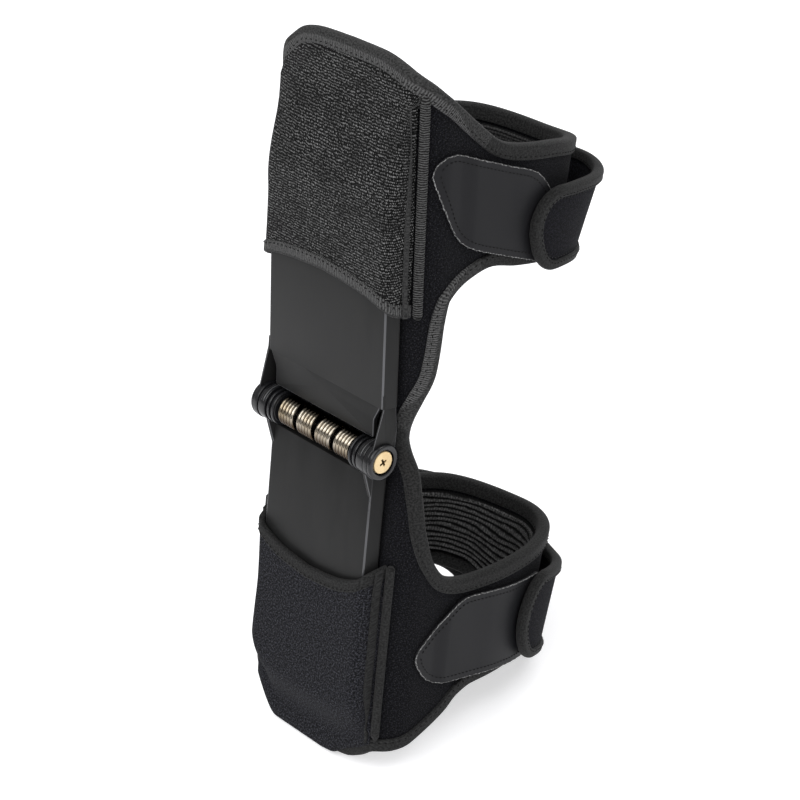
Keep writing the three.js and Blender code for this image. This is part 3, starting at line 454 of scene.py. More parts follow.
def panel_loop(step=1.5, end_step=2):
    """Outline of the panel in flat coordinates, the thigh's top edge first."""
    def end(name, s, way):
        """The end of a cuff at s without its corners, downward or upward."""
        z = spaced(float(upper(name, s)), float(lower(name, s)), end_step)
        return np.stack([np.full(len(z), s), z], -1)[1:-1][::way]

    def run(name, edge, side, way):
        """An edge of a cuff, rightward or leftward: all of it, or what lies past the waist on a side."""
        s = stations(name, step)
        s = s[s * side >= WAIST_S] if side else s
        return np.stack([s, edge(name, s)], -1)[::way]
    return np.concatenate([
        run("thigh", upper, 0, 1), end("thigh", RIGHT_END["thigh"], 1), run("thigh", lower, 1, -1),
        run("calf", upper, 1, 1)[1:], end("calf", RIGHT_END["calf"], 1), run("calf", lower, 0, -1),
        end("calf", LEFT_END["calf"], -1), run("calf", upper, -1, 1), run("thigh", lower, -1, -1)[1:],
        end("thigh", LEFT_END["thigh"], -1)])


def press(points):
    """Bound edges on the floor: heights under FOOT_PRESS are drawn out so that FOOT_FLAT comes to nought."""
    lean_sin, lean_cos = math.sin(LEAN), math.cos(LEAN)
    above = points[..., 2] * lean_cos - points[..., 1] * lean_sin - FLOOR_Z * lean_cos
    drawn = np.maximum(0, (above - FOOT_FLAT) * FOOT_PRESS / (FOOT_PRESS - FOOT_FLAT))
    more = np.where(above < FOOT_PRESS, drawn, above) - above
    return points + more[..., None] * (0, -lean_sin, lean_cos)


def bound(name, node, loop, place, wall, width, materials, floor=False, kind=0, shift=0.0):
    """Folded tape round a closed outline; kind picks the material at each point of the outline, and
    shift moves its flat coordinate across, which narrows the band of cross threads."""
    d = inward(loop)
    section = fold(width, wall / 2 + FOLD_GAP, wall / 2 + BIND_GAP + BIND_T, BIND_NOSE)
    s, z = (loop[:, k, None] + d[:, k, None] * section[:, 0] for k in (0, 1))
    points = place(s, z, section[:, 1])
    points = press(points) if floor else points
    net = np.concatenate([points, points[:1]])
    shift = np.broadcast_to(shift, len(loop))
    across = running(section) + np.append(shift, shift[0])[:, None]
    shape = Shape().grid(net, crossed(measure(net), across), wrap=True, kind=kind)
    return shape.build(name, materials, "binding_cloth", node)


def tube(line, side, over, r, angles):
    """Rings round a line of points: the side vector times cosine plus the over vector times sine."""
    turn = side[..., None, :] * np.cos(angles)[:, None] + over[..., None, :] * np.sin(angles)[:, None]
    return line[..., None, :] + r * turn


def stitches(name, place, s, z, out, material, slot, length, gap, r, lift=0.12):
    """Threads along a line on a placed surface: each a short bent rod whose ends dive into the cloth."""
    s, z = np.broadcast_arrays(np.asarray(s, float), np.asarray(z, float))
    points = place(s, z, out)
    normals = unit(place(s, z, out + 0.5) - points) * (-1 if out < 0 else 1)
    at = running(points)
    t = np.linspace(0, 1, 6)
    where = np.arange(gap, at[-1] - length, length + gap)[:, None] + t * length
    p, n = (np.stack([np.interp(where, at, q[:, k]) for k in range(3)], -1) for q in (points, normals))
    n = unit(n)
    side = np.cross(unit(np.gradient(p, axis=1)), n)
    bow = np.sin(t * math.pi)
    p = p + n * (lift + (bow ** 0.5 * 0.5 - 0.4) * r * 1.6)[:, None]
    a = circle(6)
    shape = Shape()
    for rod in tube(p, side, n, (bow ** 0.35)[:, None, None] * r, a):
        shape.grid(rod, crossed(t * length, a * r), wrap=True)
    return shape.build(name, [material], slot, sharp=80)


# Materials
class Nodes:
    """Short hand for building a node tree: most calls make a node and return its first output."""

    def __init__(self, tree):
        """Works on one node tree."""
        self.tree = tree

    def put(self, socket, value):
        """Links an output into a socket, or sets its value; None leaves it."""
        if isinstance(value, bpy.types.NodeSocket):
            self.tree.links.new(value, socket)
        elif value is not None:
            socket.default_value = value

    def make(self, kind, *inputs, out=0, **settings):
        """One node with settings, linked or valued inputs in order (None skips one)."""
        node = self.tree.nodes.new(kind)
        for key, value in settings.items():
            setattr(node, key, value)
        for socket, value in zip(node.inputs, inputs):
            self.put(socket, value)
        return node.outputs[out]

    def calc(self, operation, a, b=None):
        """One sum on values."""
        return self.make("ShaderNodeMath", a, b, operation=operation)

    def plus(self, a, b):
        """a and b together."""
        return self.calc("ADD", a, b)

    def less(self, a, b):
        """a less b."""
        return self.calc("SUBTRACT", a, b)

    def times(self, a, b):
        """a times b."""
        return self.calc("MULTIPLY", a, b)

    def hump(self, turns):
        """One hump for each whole number: the size of the sine of pi times the turns."""
        return self.calc("ABSOLUTE", self.calc("SINE", self.times(turns, math.pi)))

    def noise(self, place, scale, detail, rough=0.5, ways="2D"):
        """Noise between 0 and 1 at a place."""
        return self.make("ShaderNodeTexNoise", place, None, scale, detail, rough, noise_dimensions=ways)

    def apart(self, place):
        """The three coordinates of a place."""
        node = self.tree.nodes.new("ShaderNodeSeparateXYZ")
        self.put(node.inputs[0], place)
        return node.outputs

    def ramp(self, value, low, high, to_low=0.0, to_high=1.0):
        """Value carried from low..high to to_low..to_high with level ends."""
        return self.make("ShaderNodeMapRange", value, low, high, to_low, to_high,
                         interpolation_type="SMOOTHSTEP")

    def mix(self, factor, a, b):
        """Mix of two colours."""
        node = self.tree.nodes.new("ShaderNodeMix")
        node.data_type = "RGBA"
        for socket, value in ((0, factor), (6, a), (7, b)):
            self.put(node.inputs[socket], value)
        return node.outputs[2]


def effect(name, values, build):
    """A node group that takes a place in metres and named values; build gives its named outputs from
    the node short hand, the place in mm and the values."""
    tree = bpy.data.node_groups.new(name, "ShaderNodeTree")
    n = Nodes(tree)
    tree.interface.new_socket("Place", in_out="INPUT", socket_type="NodeSocketVector")
    for label in values:
        tree.interface.new_socket(label, in_out="INPUT", socket_type="NodeSocketFloat")
    place, *inputs = list(tree.nodes.new("NodeGroupInput").outputs)[:1 + len(values)]
    mm = n.make("ShaderNodeVectorMath", place, (MM, MM, MM), operation="MULTIPLY")
    results = build(n, mm, *inputs)
    for label in results:
        tree.interface.new_socket(label, in_out="OUTPUT", socket_type="NodeSocketFloat")
    end = tree.nodes.new("NodeGroupOutput")
    for socket, value in zip(end.inputs, results.values()):
        n.put(socket, value)
    return tree


def looped_rows(n, mm, row_w, loop_w, slant, fray, fuzz):
    """Rows of slanted loops: a hump across the rows times a sheared hump along them, broken by noise."""
    u, v, _ = n.apart(mm)
    fine = n.noise(mm, 0.9, 2.0, 0.6)
    drift = n.times(n.less(n.noise(mm, 0.3, 3.0), 0.5), fray)
    row = n.plus(n.calc("DIVIDE", v, row_w), drift)
    column = n.plus(n.calc("DIVIDE", u, loop_w), n.plus(n.times(row, slant), drift))
    across = n.hump(row)
    loop = n.times(across, n.plus(0.35, n.times(n.hump(column), 0.65)))
    loose = n.times(n.less(fine, 0.5), fuzz)
    return dict(Height=n.plus(n.times(loop, 0.8), n.times(fine, 0.3)),
                Crest=n.ramp(n.plus(loop, loose), 0.55, 1.1), Across=n.plus(across, n.times(loose, 0.4)))


def short_pile(n, mm, hair):
    """Short pile: fine noise for the hairs, wide noise for the way it is brushed, and rare lint."""
    lint = n.make("ShaderNodeTexVoronoi", mm, None, 0.55, voronoi_dimensions="2D")
    return dict(Height=n.noise(mm, hair, 3.0, 0.75), Brush=n.noise(mm, 0.08, 3.0, 0.6),
                Lint=n.ramp(lint, 0.16, 0.05))


def ladder_threads(n, mm, step, weave, reach):
    """Cross threads of a tape: humps along it up to the reach from its sewn side, over a fine weave."""
    u, v, _ = n.apart(mm)
    fine = n.noise(mm, 1.1, 3.0, 0.65)
    thread = n.hump(n.plus(n.calc("DIVIDE", u, step), n.times(n.noise(mm, 0.25, 2.0), 1.2)))
    near = n.ramp(v, n.less(reach, 0.6), n.plus(reach, 0.5), 1.0, 0.0)
    body = n.plus(n.times(n.times(thread, near), 0.7), n.times(n.hump(n.calc("DIVIDE", v, weave)), 0.2))
    rough = n.plus(thread, n.times(n.less(fine, 0.5), 0.8))
    return dict(Height=n.plus(body, n.times(fine, 0.6)), Thread=n.times(n.ramp(rough, 0.5, 1.05), near),
                Mottle=fine)


def fine_grain(n, mm, cell):
    """Grain of leather or moulded plastic: cells and fine noise, with wide patches of wear drawn out
    along the height."""
    cells = n.make("ShaderNodeTexVoronoi", mm, None, cell, feature="SMOOTH_F1")
    drawn = n.make("ShaderNodeVectorMath", mm, (1, 1, 0.22), operation="MULTIPLY")
    fine = n.noise(mm, 4.0, 2.0, ways="3D")
    return dict(Height=n.plus(n.times(cells, 0.7), n.times(fine, 0.5)),
                Wear=n.noise(drawn, 0.06, 4.0, 0.55, "3D"))


LOOPS = effect("looped_rows", ("Row", "Loop", "Slant", "Fray", "Fuzz"), looped_rows)
PILE = effect("short_pile", ("Hair",), short_pile)
LADDER = effect("ladder_threads", ("Step", "Weave", "Reach"), ladder_threads)
GRAIN = effect("fine_grain", ("Cell",), fine_grain)
PLAIN, COOL = (1, 1, 1), (0.97, 0.985, 1.04)


def begin(name):
    """An empty material with a principled shader; returns it, its node short hand and the shader."""
    material = bpy.data.materials.new(name)
    material.use_nodes = True
    tree = material.node_tree
    tree.nodes.clear()
    end = tree.nodes.new("ShaderNodeOutputMaterial")
    shader = tree.nodes.new("ShaderNodeBsdfPrincipled")
    tree.links.new(shader.outputs[0], end.inputs[0])
    return material, Nodes(tree), shader


def use(n, group, place, *values):
    """A shared effect put in a material at a place; returns its outputs."""
    node = n.tree.nodes.new("ShaderNodeGroup")
    node.node_tree = group
    for socket, value in zip(node.inputs, (place, *values)):
        n.put(socket, value)
    return node.outputs


def paint(n, shader, **looks):
    """Sets or links the shader's inputs; an underscore stands for a space."""
    for key, value in looks.items():
        n.put(shader.inputs[key.replace("_", " ")], value)


def bump(n, shader, height, strength, mm):
    """Bump from a height between 0 and 1 that stands for mm of relief."""
    node = n.tree.nodes.new("ShaderNodeBump")
    paint(n, node, Strength=strength, Distance=mm / MM, Height=height)
    paint(n, shader, Normal=node.outputs[0])


def grey(v, tint=PLAIN):
    """Colour of an 8-bit grey level in the picture, tinted, in linear light."""
    return (*[((v * t / 255 + 0.055) / 1.055) ** 2.4 for t in tint], 1)


def cloth(name, group, values, colour, rough, gloss, sheen, strength, relief):
    """A cloth on its flat coordinates: colour from the effect's outputs, bump from its height."""
    material, n, shader = begin(name)
    flat = n.make("ShaderNodeUVMap", uv_map="flat")
    out = use(n, group, flat, *values)
    paint(n, shader, Base_Color=colour(n, out, flat), Roughness=rough, Specular_IOR_Level=gloss,
          Sheen_Weight=sheen, Sheen_Roughness=0.45)
    bump(n, shader, out["Height"], strength, relief)
    return material


def knit(name, row, loop, slant, dark, light, depth, fray, fuzz):
    """Looped knit: dark ground, light crests, darker where it is brushed."""
    def colour(n, out, flat):
        """Ground to crest, then towards a darker ground with the brushing."""
        brush = use(n, PILE, flat, 1.1)["Brush"]
        loops = n.mix(out["Crest"], grey(dark, COOL), grey(light))
        return n.mix(n.ramp(brush, 0.35, 0.75, 0.0, 0.45), loops, grey(dark * 0.8, COOL))
    return cloth(name, LOOPS, (row, loop, slant, fray, fuzz), colour, 0.9, 0.12, 0.03, 0.9, depth)


def ribbed(name, row, loop, dark, light, depth):
    """Ribbed lining: light crests between black grooves, puckered along each rib."""
    def colour(n, out, _):
        """Groove to crest, the crest lighter on its loops."""
        loops = n.plus(0.45, n.times(out["Crest"], 0.75))
        return n.mix(n.times(n.ramp(out["Across"], 0.3, 0.85), loops), grey(dark, COOL), grey(light))
    return cloth(name, LOOPS, (row, loop, 0.25, 0.1, 1.8), colour, 0.85, 0.15, 0.03, 0.8, depth)


def plush(name, dark, light, hair, tint, lint=0.35):
    """Short pile cloth: near black, hairs lighter, a little lint and sheen."""
    def colour(n, out, _):
        """Ground to hair, then towards pale lint."""
        hairs = n.mix(n.ramp(out["Height"], 0.42, 0.75), grey(dark, tint), grey(light, tint))
        return n.mix(n.times(out["Lint"], lint), hairs, grey(light * 1.9))
    return cloth(name, PILE, (hair,), colour, 0.95, 0.06, 0.02, 0.8, 0.5)


def tape_cloth(name, dark, light, step, weave=0.45, depth=0.3, reach=0.0):
    """Woven tape: cross threads lighter than the mottled ground, up to the reach from its sewn side."""
    def colour(n, out, _):
        """Mottled ground to thread."""
        ground = n.mix(n.ramp(out["Mottle"], 0.36, 0.64), grey(dark * 0.72), grey(dark * 1.28))
        return n.mix(out["Thread"], ground, grey(light))
    return cloth(name, LADDER, (step, weave, reach), colour, 0.82, 0.12, 0.04, 0.7, depth)


def grained(name, level, rough, cell, depth, strength, tint=PLAIN, vary=0.06, gloss=0.25):
    """Moulded plastic or leather: fine grain, patches of slightly different level and gloss."""
    material, n, shader = begin(name)
    out = use(n, GRAIN, n.make("ShaderNodeTexCoord", out=3), cell)
    low, high = (grey(level * (1 + k), tint) for k in (-vary, vary))
    paint(n, shader, Base_Color=n.mix(n.ramp(out["Wear"], 0.3, 0.7), low, high), Specular_IOR_Level=gloss,
          Roughness=n.ramp(out["Wear"], 0.3, 0.7, rough - 0.05, rough + 0.05))
    bump(n, shader, out["Height"], strength, depth)
    return material


# Painted shade on the spring wire: heights and depths about the hinge's axis, in metres, where it turns dark,
# and its near-black colour
PAINTED_SHADE_BELOW, PAINTED_SHADE_BEHIND, PAINTED_SHADE_COLOUR = (-0.002, 0.003), (-0.0035, 0.0015), (0.05, 0.035, 0.022, 1)


def metal(name, colour, dark, rough, lines, bare=1.0, painted_shade=False):
    """Drawn or turned metal: fine lines, stains darker than the metal. When asked for, the wire is painted
    nearly black below and behind the hinge's axis, by the height and the depth of the point: painted shade
    where the plates shadow the coils."""
    material, n, shader = begin(name)
    place = n.make("ShaderNodeTexCoord", out=3)
    out = use(n, GRAIN, place, lines)
    coat = n.mix(n.ramp(out["Wear"], 0.3, 0.7), (*colour, 1), (*dark, 1))
    if painted_shade:
        # Painted shade: the coat turns nearly black below and behind the shaft's axis
        _, y, z = n.apart(place)
        below = n.ramp(z, *(HINGE[2] / MM + np.array(PAINTED_SHADE_BELOW)), 1.0, 0.0)
        behind = n.ramp(y, *(HINGE[1] / MM + np.array(PAINTED_SHADE_BEHIND)))
        coat = n.mix(n.calc("MAXIMUM", below, behind), coat, PAINTED_SHADE_COLOUR)
    paint(n, shader, Base_Color=coat, Metallic=bare,
          Roughness=n.ramp(out["Height"], 0.2, 0.9, rough - 0.05, rough + 0.08))
    bump(n, shader, out["Height"], 0.05, 0.05)
    return material


ALL_ACROSS = 99.0
PLASTIC = grained("moulded_plastic", 35, 0.42, 1.3, 0.12, 0.12, vary=0.1, gloss=0.13)
# Lighter plastic for bevels and corner edges: a painted highlight where the edges catch the light
EDGE_HIGHLIGHT = grained("worn_edge", 70, 0.3, 1.3, 0.1, 0.1, (0.98, 0.99, 1.03), 0.2, 0.6)
# Near-black plastic for the cup round the screw: painted shade in the recess
PAINTED_SHADE_CUP = grained("hollow", 6, 0.8, 1.3, 0.1, 0.1, gloss=0.05)
BOSS = grained("turned_plastic", 24, 0.24, 1.6, 0.04, 0.05, (0.97, 0.98, 1.08), 0.06, 0.45)
STEEL = metal("shaft_steel", (0.1, 0.095, 0.09), (0.04, 0.038, 0.036), 0.3, 2.4)
# The springs' wire gets painted shade below and behind the shaft
BRONZE = metal("spring_wire", (0.52, 0.48, 0.41), (0.3, 0.24, 0.16), 0.12, 1.4, painted_shade=True)
BRASS = metal("screw_brass", (0.86, 0.68, 0.4), (0.7, 0.5, 0.25), 0.36, 0.7, bare=0.5)
# Dark brown metal for the faces deep in the screw's cross: painted shade in the recess
PAINTED_SHADE_RECESS = metal("screw_recess", (0.12, 0.08, 0.03), (0.05, 0.03, 0.01), 0.5, 0.7, bare=0.5)
PLUSH = plush("panel_plush", 12, 40, 1.4, (0.96, 0.97, 1.1))
KNIT = knit("thigh_knit", 1.3, 1.0, 0.6, 6, 122, 0.8, 1.1, 2.2)
FINE = plush("shin_loop", 18, 70, 1.1, (0.97, 0.98, 1.08), 0.2)
LADDER_TAPE = tape_cloth("bound_edge", 48, 90, 1.1, reach=5.2)
PLAIN_TAPE = tape_cloth("plain_edge", 36, 56, 0.6, 0.5, 0.4)
OVERLOCK = tape_cloth("overlocked", 22, 82, 1.1, 0.9, 0.5, ALL_ACROSS)
THIGH_RIBS = ribbed("fine_rib", 3.0, 1.6, 10, 66, 0.3)
CALF_RIBS = ribbed("deep_rib", 3.0, 1.5, 5, 100, 0.6)
WEBBING = plush("strap_loop", 14, 38, 1.0, (0.96, 0.96, 1.16), 0.3)
LEATHER = grained("tab_leather", 28, 0.45, 1.7, 0.1, 0.2, (1, 1, 1.08), 0.03, 0.12)
RAW_EDGE = plush("raw_edge", 66, 190, 0.7, PLAIN, 0.0)
THREAD = tape_cloth("thread", 36, 60, 0.5, 0.3, 0.1, ALL_ACROSS)
DARK_THREAD = tape_cloth("dark_thread", 14, 26, 0.5, 0.3, 0.1, ALL_ACROSS)


# Panel: outer and inner faces over both cuffs
def build_panel():
    """One padded cloth: nets of both cuffs on its two faces, with a slow quilted swell between seams."""
    shape = Shape()
    t = np.linspace(0, 1, 45)
    for name in CUFFS:
        s = stations(name, step=2.2)
        ss, z = strip(s, lower(name, s), upper(name, s), t)
        z = np.round(z, 6)
        swell = SWELL * np.sin(math.pi * t) * np.sin(ss / SWELL_ALONG + z / SWELL_UP) ** 2
        outer = panel_place(ss, z, PANEL_T / 2 + swell)
        inner = panel_place(ss, z, -PANEL_T / 2 - SWELL_INSIDE * swell)
        shape.shell(outer, inner, np.stack([ss, z], -1))
    return shape.build("padded_panel", [PLUSH], "panel_plush", "back_panel", sharp=70)


LADDER_LOW, LADDER_REACH, LADDER_NARROWED, EDGE_ROW = 14.0, 80.0, 5.0, 4.4
panel = build_panel()


def build_edge():
    """Bound edge of the panel, with cross threads above the hinge that narrow towards their ends, and
    a row of stitches on each face."""
    loop = even(panel_loop(), step=1.6)
    along, high = np.abs(loop[:, 0]), loop[:, 1]
    threaded = (high > LADDER_LOW) & (along < LADDER_REACH)
    ending = np.maximum(rise(along, LADDER_REACH - 22, 20), smooth((LADDER_LOW + 18 - high) / 16))
    bound("panel_bound_edge", "panel_binding", loop, panel_place, PANEL_T, BIND_W, [PLAIN_TAPE, LADDER_TAPE],
          floor=True, kind=threaded.astype(int), shift=LADDER_NARROWED * ending)
    track = loop + inward(loop) * EDGE_ROW
    for word, way in (("outer", 1), ("inner", -1)):
        stitches(f"edge_stitches_{word}", panel_place, *track.T, way * (PANEL_T / 2 + BIND_GAP + BIND_T),
                 DARK_THREAD, "binding_cloth", length=1.4, gap=2.0, r=0.28)


build_edge()

# Ribbed linings inside the bands
LININGS = {
    "thigh": dict(start=72, end=297, ribs=22, deep=0.8, rows=(0.03, 0.09), cloth=THIGH_RIBS),
    "calf": dict(start=80, end=313, ribs=12, deep=1.5, rows=(0.03,), cloth=CALF_RIBS),
}
LINING_BACK, LINING_T, LINING_SINK, LINING_IN, RIB_PITCH = -PANEL_T / 2 - 0.65, 0.7, 0.3, 1.5, 3.0
# Waves of the ribs: size, length along the band, turn across it
WANDER = ((0.012, 13, 9), (0.008, 5.3, 21))
PUFF, PUFF_SHORT, PUFF_LONG = 0.28, 1.3, 4.7


def build_lining(name):
    """Ribs along the band: rounded crests between narrow grooves, wandering and puckered a little with
    distance, flat under the stitches."""
    k = LININGS[name]
    s = spaced(k["start"], k["end"], step=1.4)
    t = np.linspace(1, 0, k["ribs"] * 8 + 1)
    low, high = lower(name, s) + BIND_W + LINING_IN, upper(name, s) - BIND_W - LINING_IN
    ss, z = strip(s, low, high, t)
    edge_out = smooth(np.minimum(t, 1 - t) / 0.04)
    wander = sum(size * np.sin(ss / length + turn * t) for size, length, turn in WANDER)
    phase = (t + wander * edge_out) * k["ribs"]
    crest = np.abs(np.sin(math.pi * phase)) ** 0.45
    puff = 1 + PUFF * np.sin(ss / PUFF_SHORT + 7 * np.sin(40 * t)) * np.sin(ss / PUFF_LONG + 33 * t)
    flat_top = rise(t, 1 - max(k["rows"]) - 0.03, 0.02)
    relief = k["deep"] * crest * puff * (1 - flat_top) + k["deep"] * 0.8 * flat_top
    place = on_panel(name)
    front = place(ss, z, LINING_BACK - LINING_T - relief * edge_out)
    back = place(ss, z, LINING_BACK + LINING_SINK)
    shape = Shape().shell(front, back, np.stack([ss, phase * RIB_PITCH], -1))
    made = shape.build(f"{name}_ribbed_lining", [k["cloth"]], "lining_cloth", f"{name}_lining", sharp=70)
    for row, share in enumerate(k["rows"]):
        stitches(f"{name}_lining_stitches_{row + 1}", place, s, low + (high - low) * (1 - share),
                 LINING_BACK - LINING_T - k["deep"], THREAD, "lining_cloth", length=1.6, gap=0.9, r=0.3)
    return sew(made, back)


linings = {name: build_lining(name) for name in LININGS}

# Pockets: section across the front (number, x from the middle, depth), mouth and end heights by x
POCKETS = {
    "thigh": dict(
        section=((0, 0, -2.3), (1, 20, -2.3), (2, 38, -2.3), (3, 41.5, -1.2), (4, 43.1, 2.4),
                 (5, 43.9, 7), (6, 44.4, 10.2)),
        mouth=((0, 83), (22, 81.4), (40, 77.6), (44.4, 71.5)),
        end=((0, 179.6), (20, 178.4), (37, 173.6), (44.4, 168)),
        tape=(1.05, 0.34), closes=0.4, tilt=THIGH_TILT, left_in=0.35, left_slim=1.6, end_tilt=top_tilt,
        goal_out=1.75, goal=lambda s: upper("thigh", s) - 3.6, thin=0.35,
        cuff="thigh", cord_out=1.9, cloth=KNIT, edging=LADDER_TAPE, cord=OVERLOCK),
    "shin": dict(
        section=((0, 0, -2.3), (1, 18, -2.3), (2, 33.5, -2.3), (3, 37.1, -1.3), (4, 38.8, 2.4),
                 (5, 39.8, 6.4), (6, 40.8, 9.4)),
        mouth=((0, -71), (18, -69), (33, -64), (40.8, -57.5)),
        end=((0, -159.6), (22, -158.8), (33, -154.6), (40.8, -146)),
        tape=(1.25, 0.58), closes=0.7, tilt=SHIN_TILT, left_in=0.4, left_slim=1.5, end_tilt=tongue_tilt,
        goal_out=3.6, goal=lambda s: lower("calf", s) - 0.6 + 5.4 * rise(s, 16, 12), thin=0.2,
        cuff="calf", cord_out=2.0, cloth=FINE, edging=PLAIN_TAPE, cord=PLAIN_TAPE),
}
for p in POCKETS.values():
    p["long"] = p["end"][0][1] - p["mouth"][0][1]
SEAM_OUT = PANEL_T / 2 + POCKET_T / 2 + 0.5
SEAM_D = PANEL_SET - SEAM_OUT
LAST, DENT, SLIM_END, LAY_DOWN, LAY_OVER = 6, 0.45, 0.8, 1.4, 2.5
TURN_OUT, TURN_DEEP = 1.1, 2.2
HEM_W, HEM_OUT, HEM_NOSE, HEM_ROW = 5.6, POCKET_T / 2 + 0.7, 0.8, 1.2
TAPE_T, TAPE_GAP, TAPE_THIN, LEFT_TUCK = 0.9, 0.1, 0.7, (0.68, 0.28)
CORD_R, CORD_GAP, CORD_TUCK, WOUND, WOUND_STEP, PLAIN_RELIEF = 1.7, 0.2, (0.95, 0.05), 0.16, 0.62, 0.03


def pocket_at(p, u, v):
    """Middle of the pocket's cloth: the section at u across, between mouth and end at v, sinking from
    the plate's face to the seam on the panel as v passes the closing share. The left side is slimmer."""
    q = np.abs(u) * LAST
    wide, full = (table(p["section"], q, column) for column in (1, 2))
    slim = p["left_in"] + p["left_slim"] * np.sin(math.pi * np.clip(v / SLIM_END, 0, 1))
    x = wide - np.where(u < 0, slim * rise(wide, 28, 10), 0)
    z0 = table(p["mouth"], x)
    z1 = table(p["end"], x) + p["end_tilt"](np.sign(u) * x)
    z = z0 + (z1 - z0) * v
    lean = z * math.tan(p["tilt"])
    seam = setback(z) - PANEL_SET - lean + SEAM_D
    d = full + (np.maximum(full, seam) - full) * rise(v, p["closes"], 1 - p["closes"])
    return np.stack([np.sign(u) * x, lean + d, z], -1)


def on_pocket(p, step=0.006, level=0.05):
    """Placing function of a pocket: u across, v along and offset out of its face."""
    def place(u, v, out):
        """Off the cloth along the cross product of two small steps, turned to the front, or to the side
        where it is nearly level with the front."""
        du = pocket_at(p, np.minimum(1, u + step), v) - pocket_at(p, np.maximum(-1, u - step), v)
        dv = pocket_at(p, u, np.minimum(1, v + step)) - pocket_at(p, u, np.maximum(0, v - step))
        n = unit(np.cross(du, dv))
        inside = (n[..., 1] > level) | ((np.abs(n[..., 1]) <= level) & (n[..., 0] * u < 0))
        return pocket_at(p, u, v) + np.where(inside[..., None], -n, n) * out[..., None]

    def past(u, v, out):
        """Past v = 1 the cloth lies on the panel, up to v = 2 at the panel's edge."""
        u, v, out = (np.array(a, float) for a in np.broadcast_arrays(u, v, out))
        held = place(u, np.minimum(v, 1), out)
        end = pocket_at(p, u, np.ones(u.shape))
        x = np.abs(end[..., 0])
        bent = FLAT + BEND * np.arcsin(np.clip((x - FLAT) / BEND, 0, 1))
        s = np.sign(end[..., 0]) * np.where(x < FLAT, x, bent)
        w = np.clip(v - 1, 0, 1)
        z = end[..., 2] + (p["goal"](s) - end[..., 2]) * w
        middle = SEAM_OUT + (p["goal_out"] - SEAM_OUT) * smooth(w * LAY_DOWN)
        laid = panel_place(s, z, middle + out * (1 - p["thin"] * w))
        mixed = held + (laid - held) * smooth(w * LAY_OVER)[..., None]
        return np.where((v > 1)[..., None], mixed, held)
    return past


def turn_under(outer, inner, flat):
    """Both faces carried on round the panel's edge: the outer one in nearly a half turn, 4 mm deep, the inner
    one staying at its last row."""
    last, first = outer[:, -1], inner[:, -1]
    side, through = unit(last - outer[:, -2]), unit(first - last)
    turns = np.linspace(0.3, 2.6, 7)
    more = np.stack([last + side * TURN_OUT * math.sin(a) + through * TURN_DEEP * (1 - math.cos(a))
                     for a in turns], 1)
    held = np.stack([first + (more[:, -1] - first) * k for k in np.linspace(0.1, 0.7, 7)], 1)
    marks = flat[:, -1:] + (flat[:, -1:] - flat[:, -2:-1]) * np.arange(1, 8)[:, None]
    return (np.concatenate(pair, 1) for pair in ((outer, more), (inner, held), (flat, marks)))


def build_pocket(name):
    """Cloth over the plate: two faces and the mouth's lip, with slack dents between plate and seam."""
    p = POCKETS[name]
    u = np.linspace(-1, 1, 121)
    v = np.concatenate([np.linspace(0, 1, 84), np.linspace(1, 2, 15)[1:]])
    uu, vv = np.meshgrid(u, v, indexing="ij")
    place = on_pocket(p)
    middle = place(uu, vv, 0)
    dent = DENT * np.sin(uu * 5 + vv * 7) * smooth(np.minimum(vv, 1 - vv) / 0.2)
    flat = crossed(running(middle[:, 0]), middle[..., 2])
    outer = place(uu, vv, POCKET_T / 2 + np.maximum(0, dent))
    inner = place(uu, vv, -POCKET_T / 2)
    if name == "shin":
        outer, inner, flat = turn_under(outer, inner, flat)
    shape = Shape().shell(outer, inner, flat)
    made = shape.build(f"{name}_pocket_cloth", [p["cloth"]], "pocket_cloth", f"{name}_pocket", sharp=70)
    return sew(made, middle)


def build_hem(name):
    """Bound mouth of a pocket: a folded tape carried across it, with a row of stitches."""
    p = POCKETS[name]
    place = on_pocket(p)
    length = abs(p["long"])
    section = fold(HEM_W, POCKET_T / 2 + TAPE_GAP, HEM_OUT, HEM_NOSE)
    u = np.linspace(-1, 1, 161)[:, None]
    w = section[:, 0]
    points = place(u, np.maximum(0, w / length), section[:, 1])
    points[..., 2] += np.minimum(0, w) * np.sign(p["long"])
    shape = Shape().rod(points, measure(points), running(section))
    shape.build(f"{name}_hem_tape", [p["edging"]], "binding_cloth", f"{name}_hem")
    stitches(f"{name}_hem_stitches", place, np.linspace(-0.96, 0.96, 200), (HEM_W - HEM_ROW) / length,
             HEM_OUT, DARK_THREAD, "binding_cloth", length=1.5, gap=1.4, r=0.3)


def build_tape(name, side, word):
    """Flat tape on the pocket's side: a low rounded section carried along it, over the hem at the mouth;
    the left one thins towards its end."""
    p = POCKETS[name]
    at, half = (LAST - p["tape"][0]) / LAST * side, p["tape"][1] / LAST
    low = POCKET_T / 2 + TAPE_GAP
    high = low + TAPE_T
    scale = np.array([1 / half, 1])
    section = rounded(np.array([(-half, low), (half, low), (half, high), (-half, high)]) * scale, 0.5) / scale
    v = np.concatenate([np.linspace(-0.004, 1, 90), np.linspace(1, 1.9, 14)[1:]])[:, None]
    over_hem = (HEM_OUT - POCKET_T / 2) * smooth((0.1 - v) / 0.04)
    thin = 1 if side > 0 else 1 - TAPE_THIN * rise(v, *LEFT_TUCK)
    points = on_pocket(p)(at + section[:, 0] * side, np.maximum(v, 0), section[:, 1] * thin + over_hem)
    points[..., 2] += np.minimum(v, 0) * p["long"]
    shape = Shape().rod(points, measure(points), np.linspace(0, 8, len(section)))
    shape.build(f"{name}_seam_tape_{word}", [p["edging"]], "binding_cloth", f"{name}_tape_{word}", sharp=40)


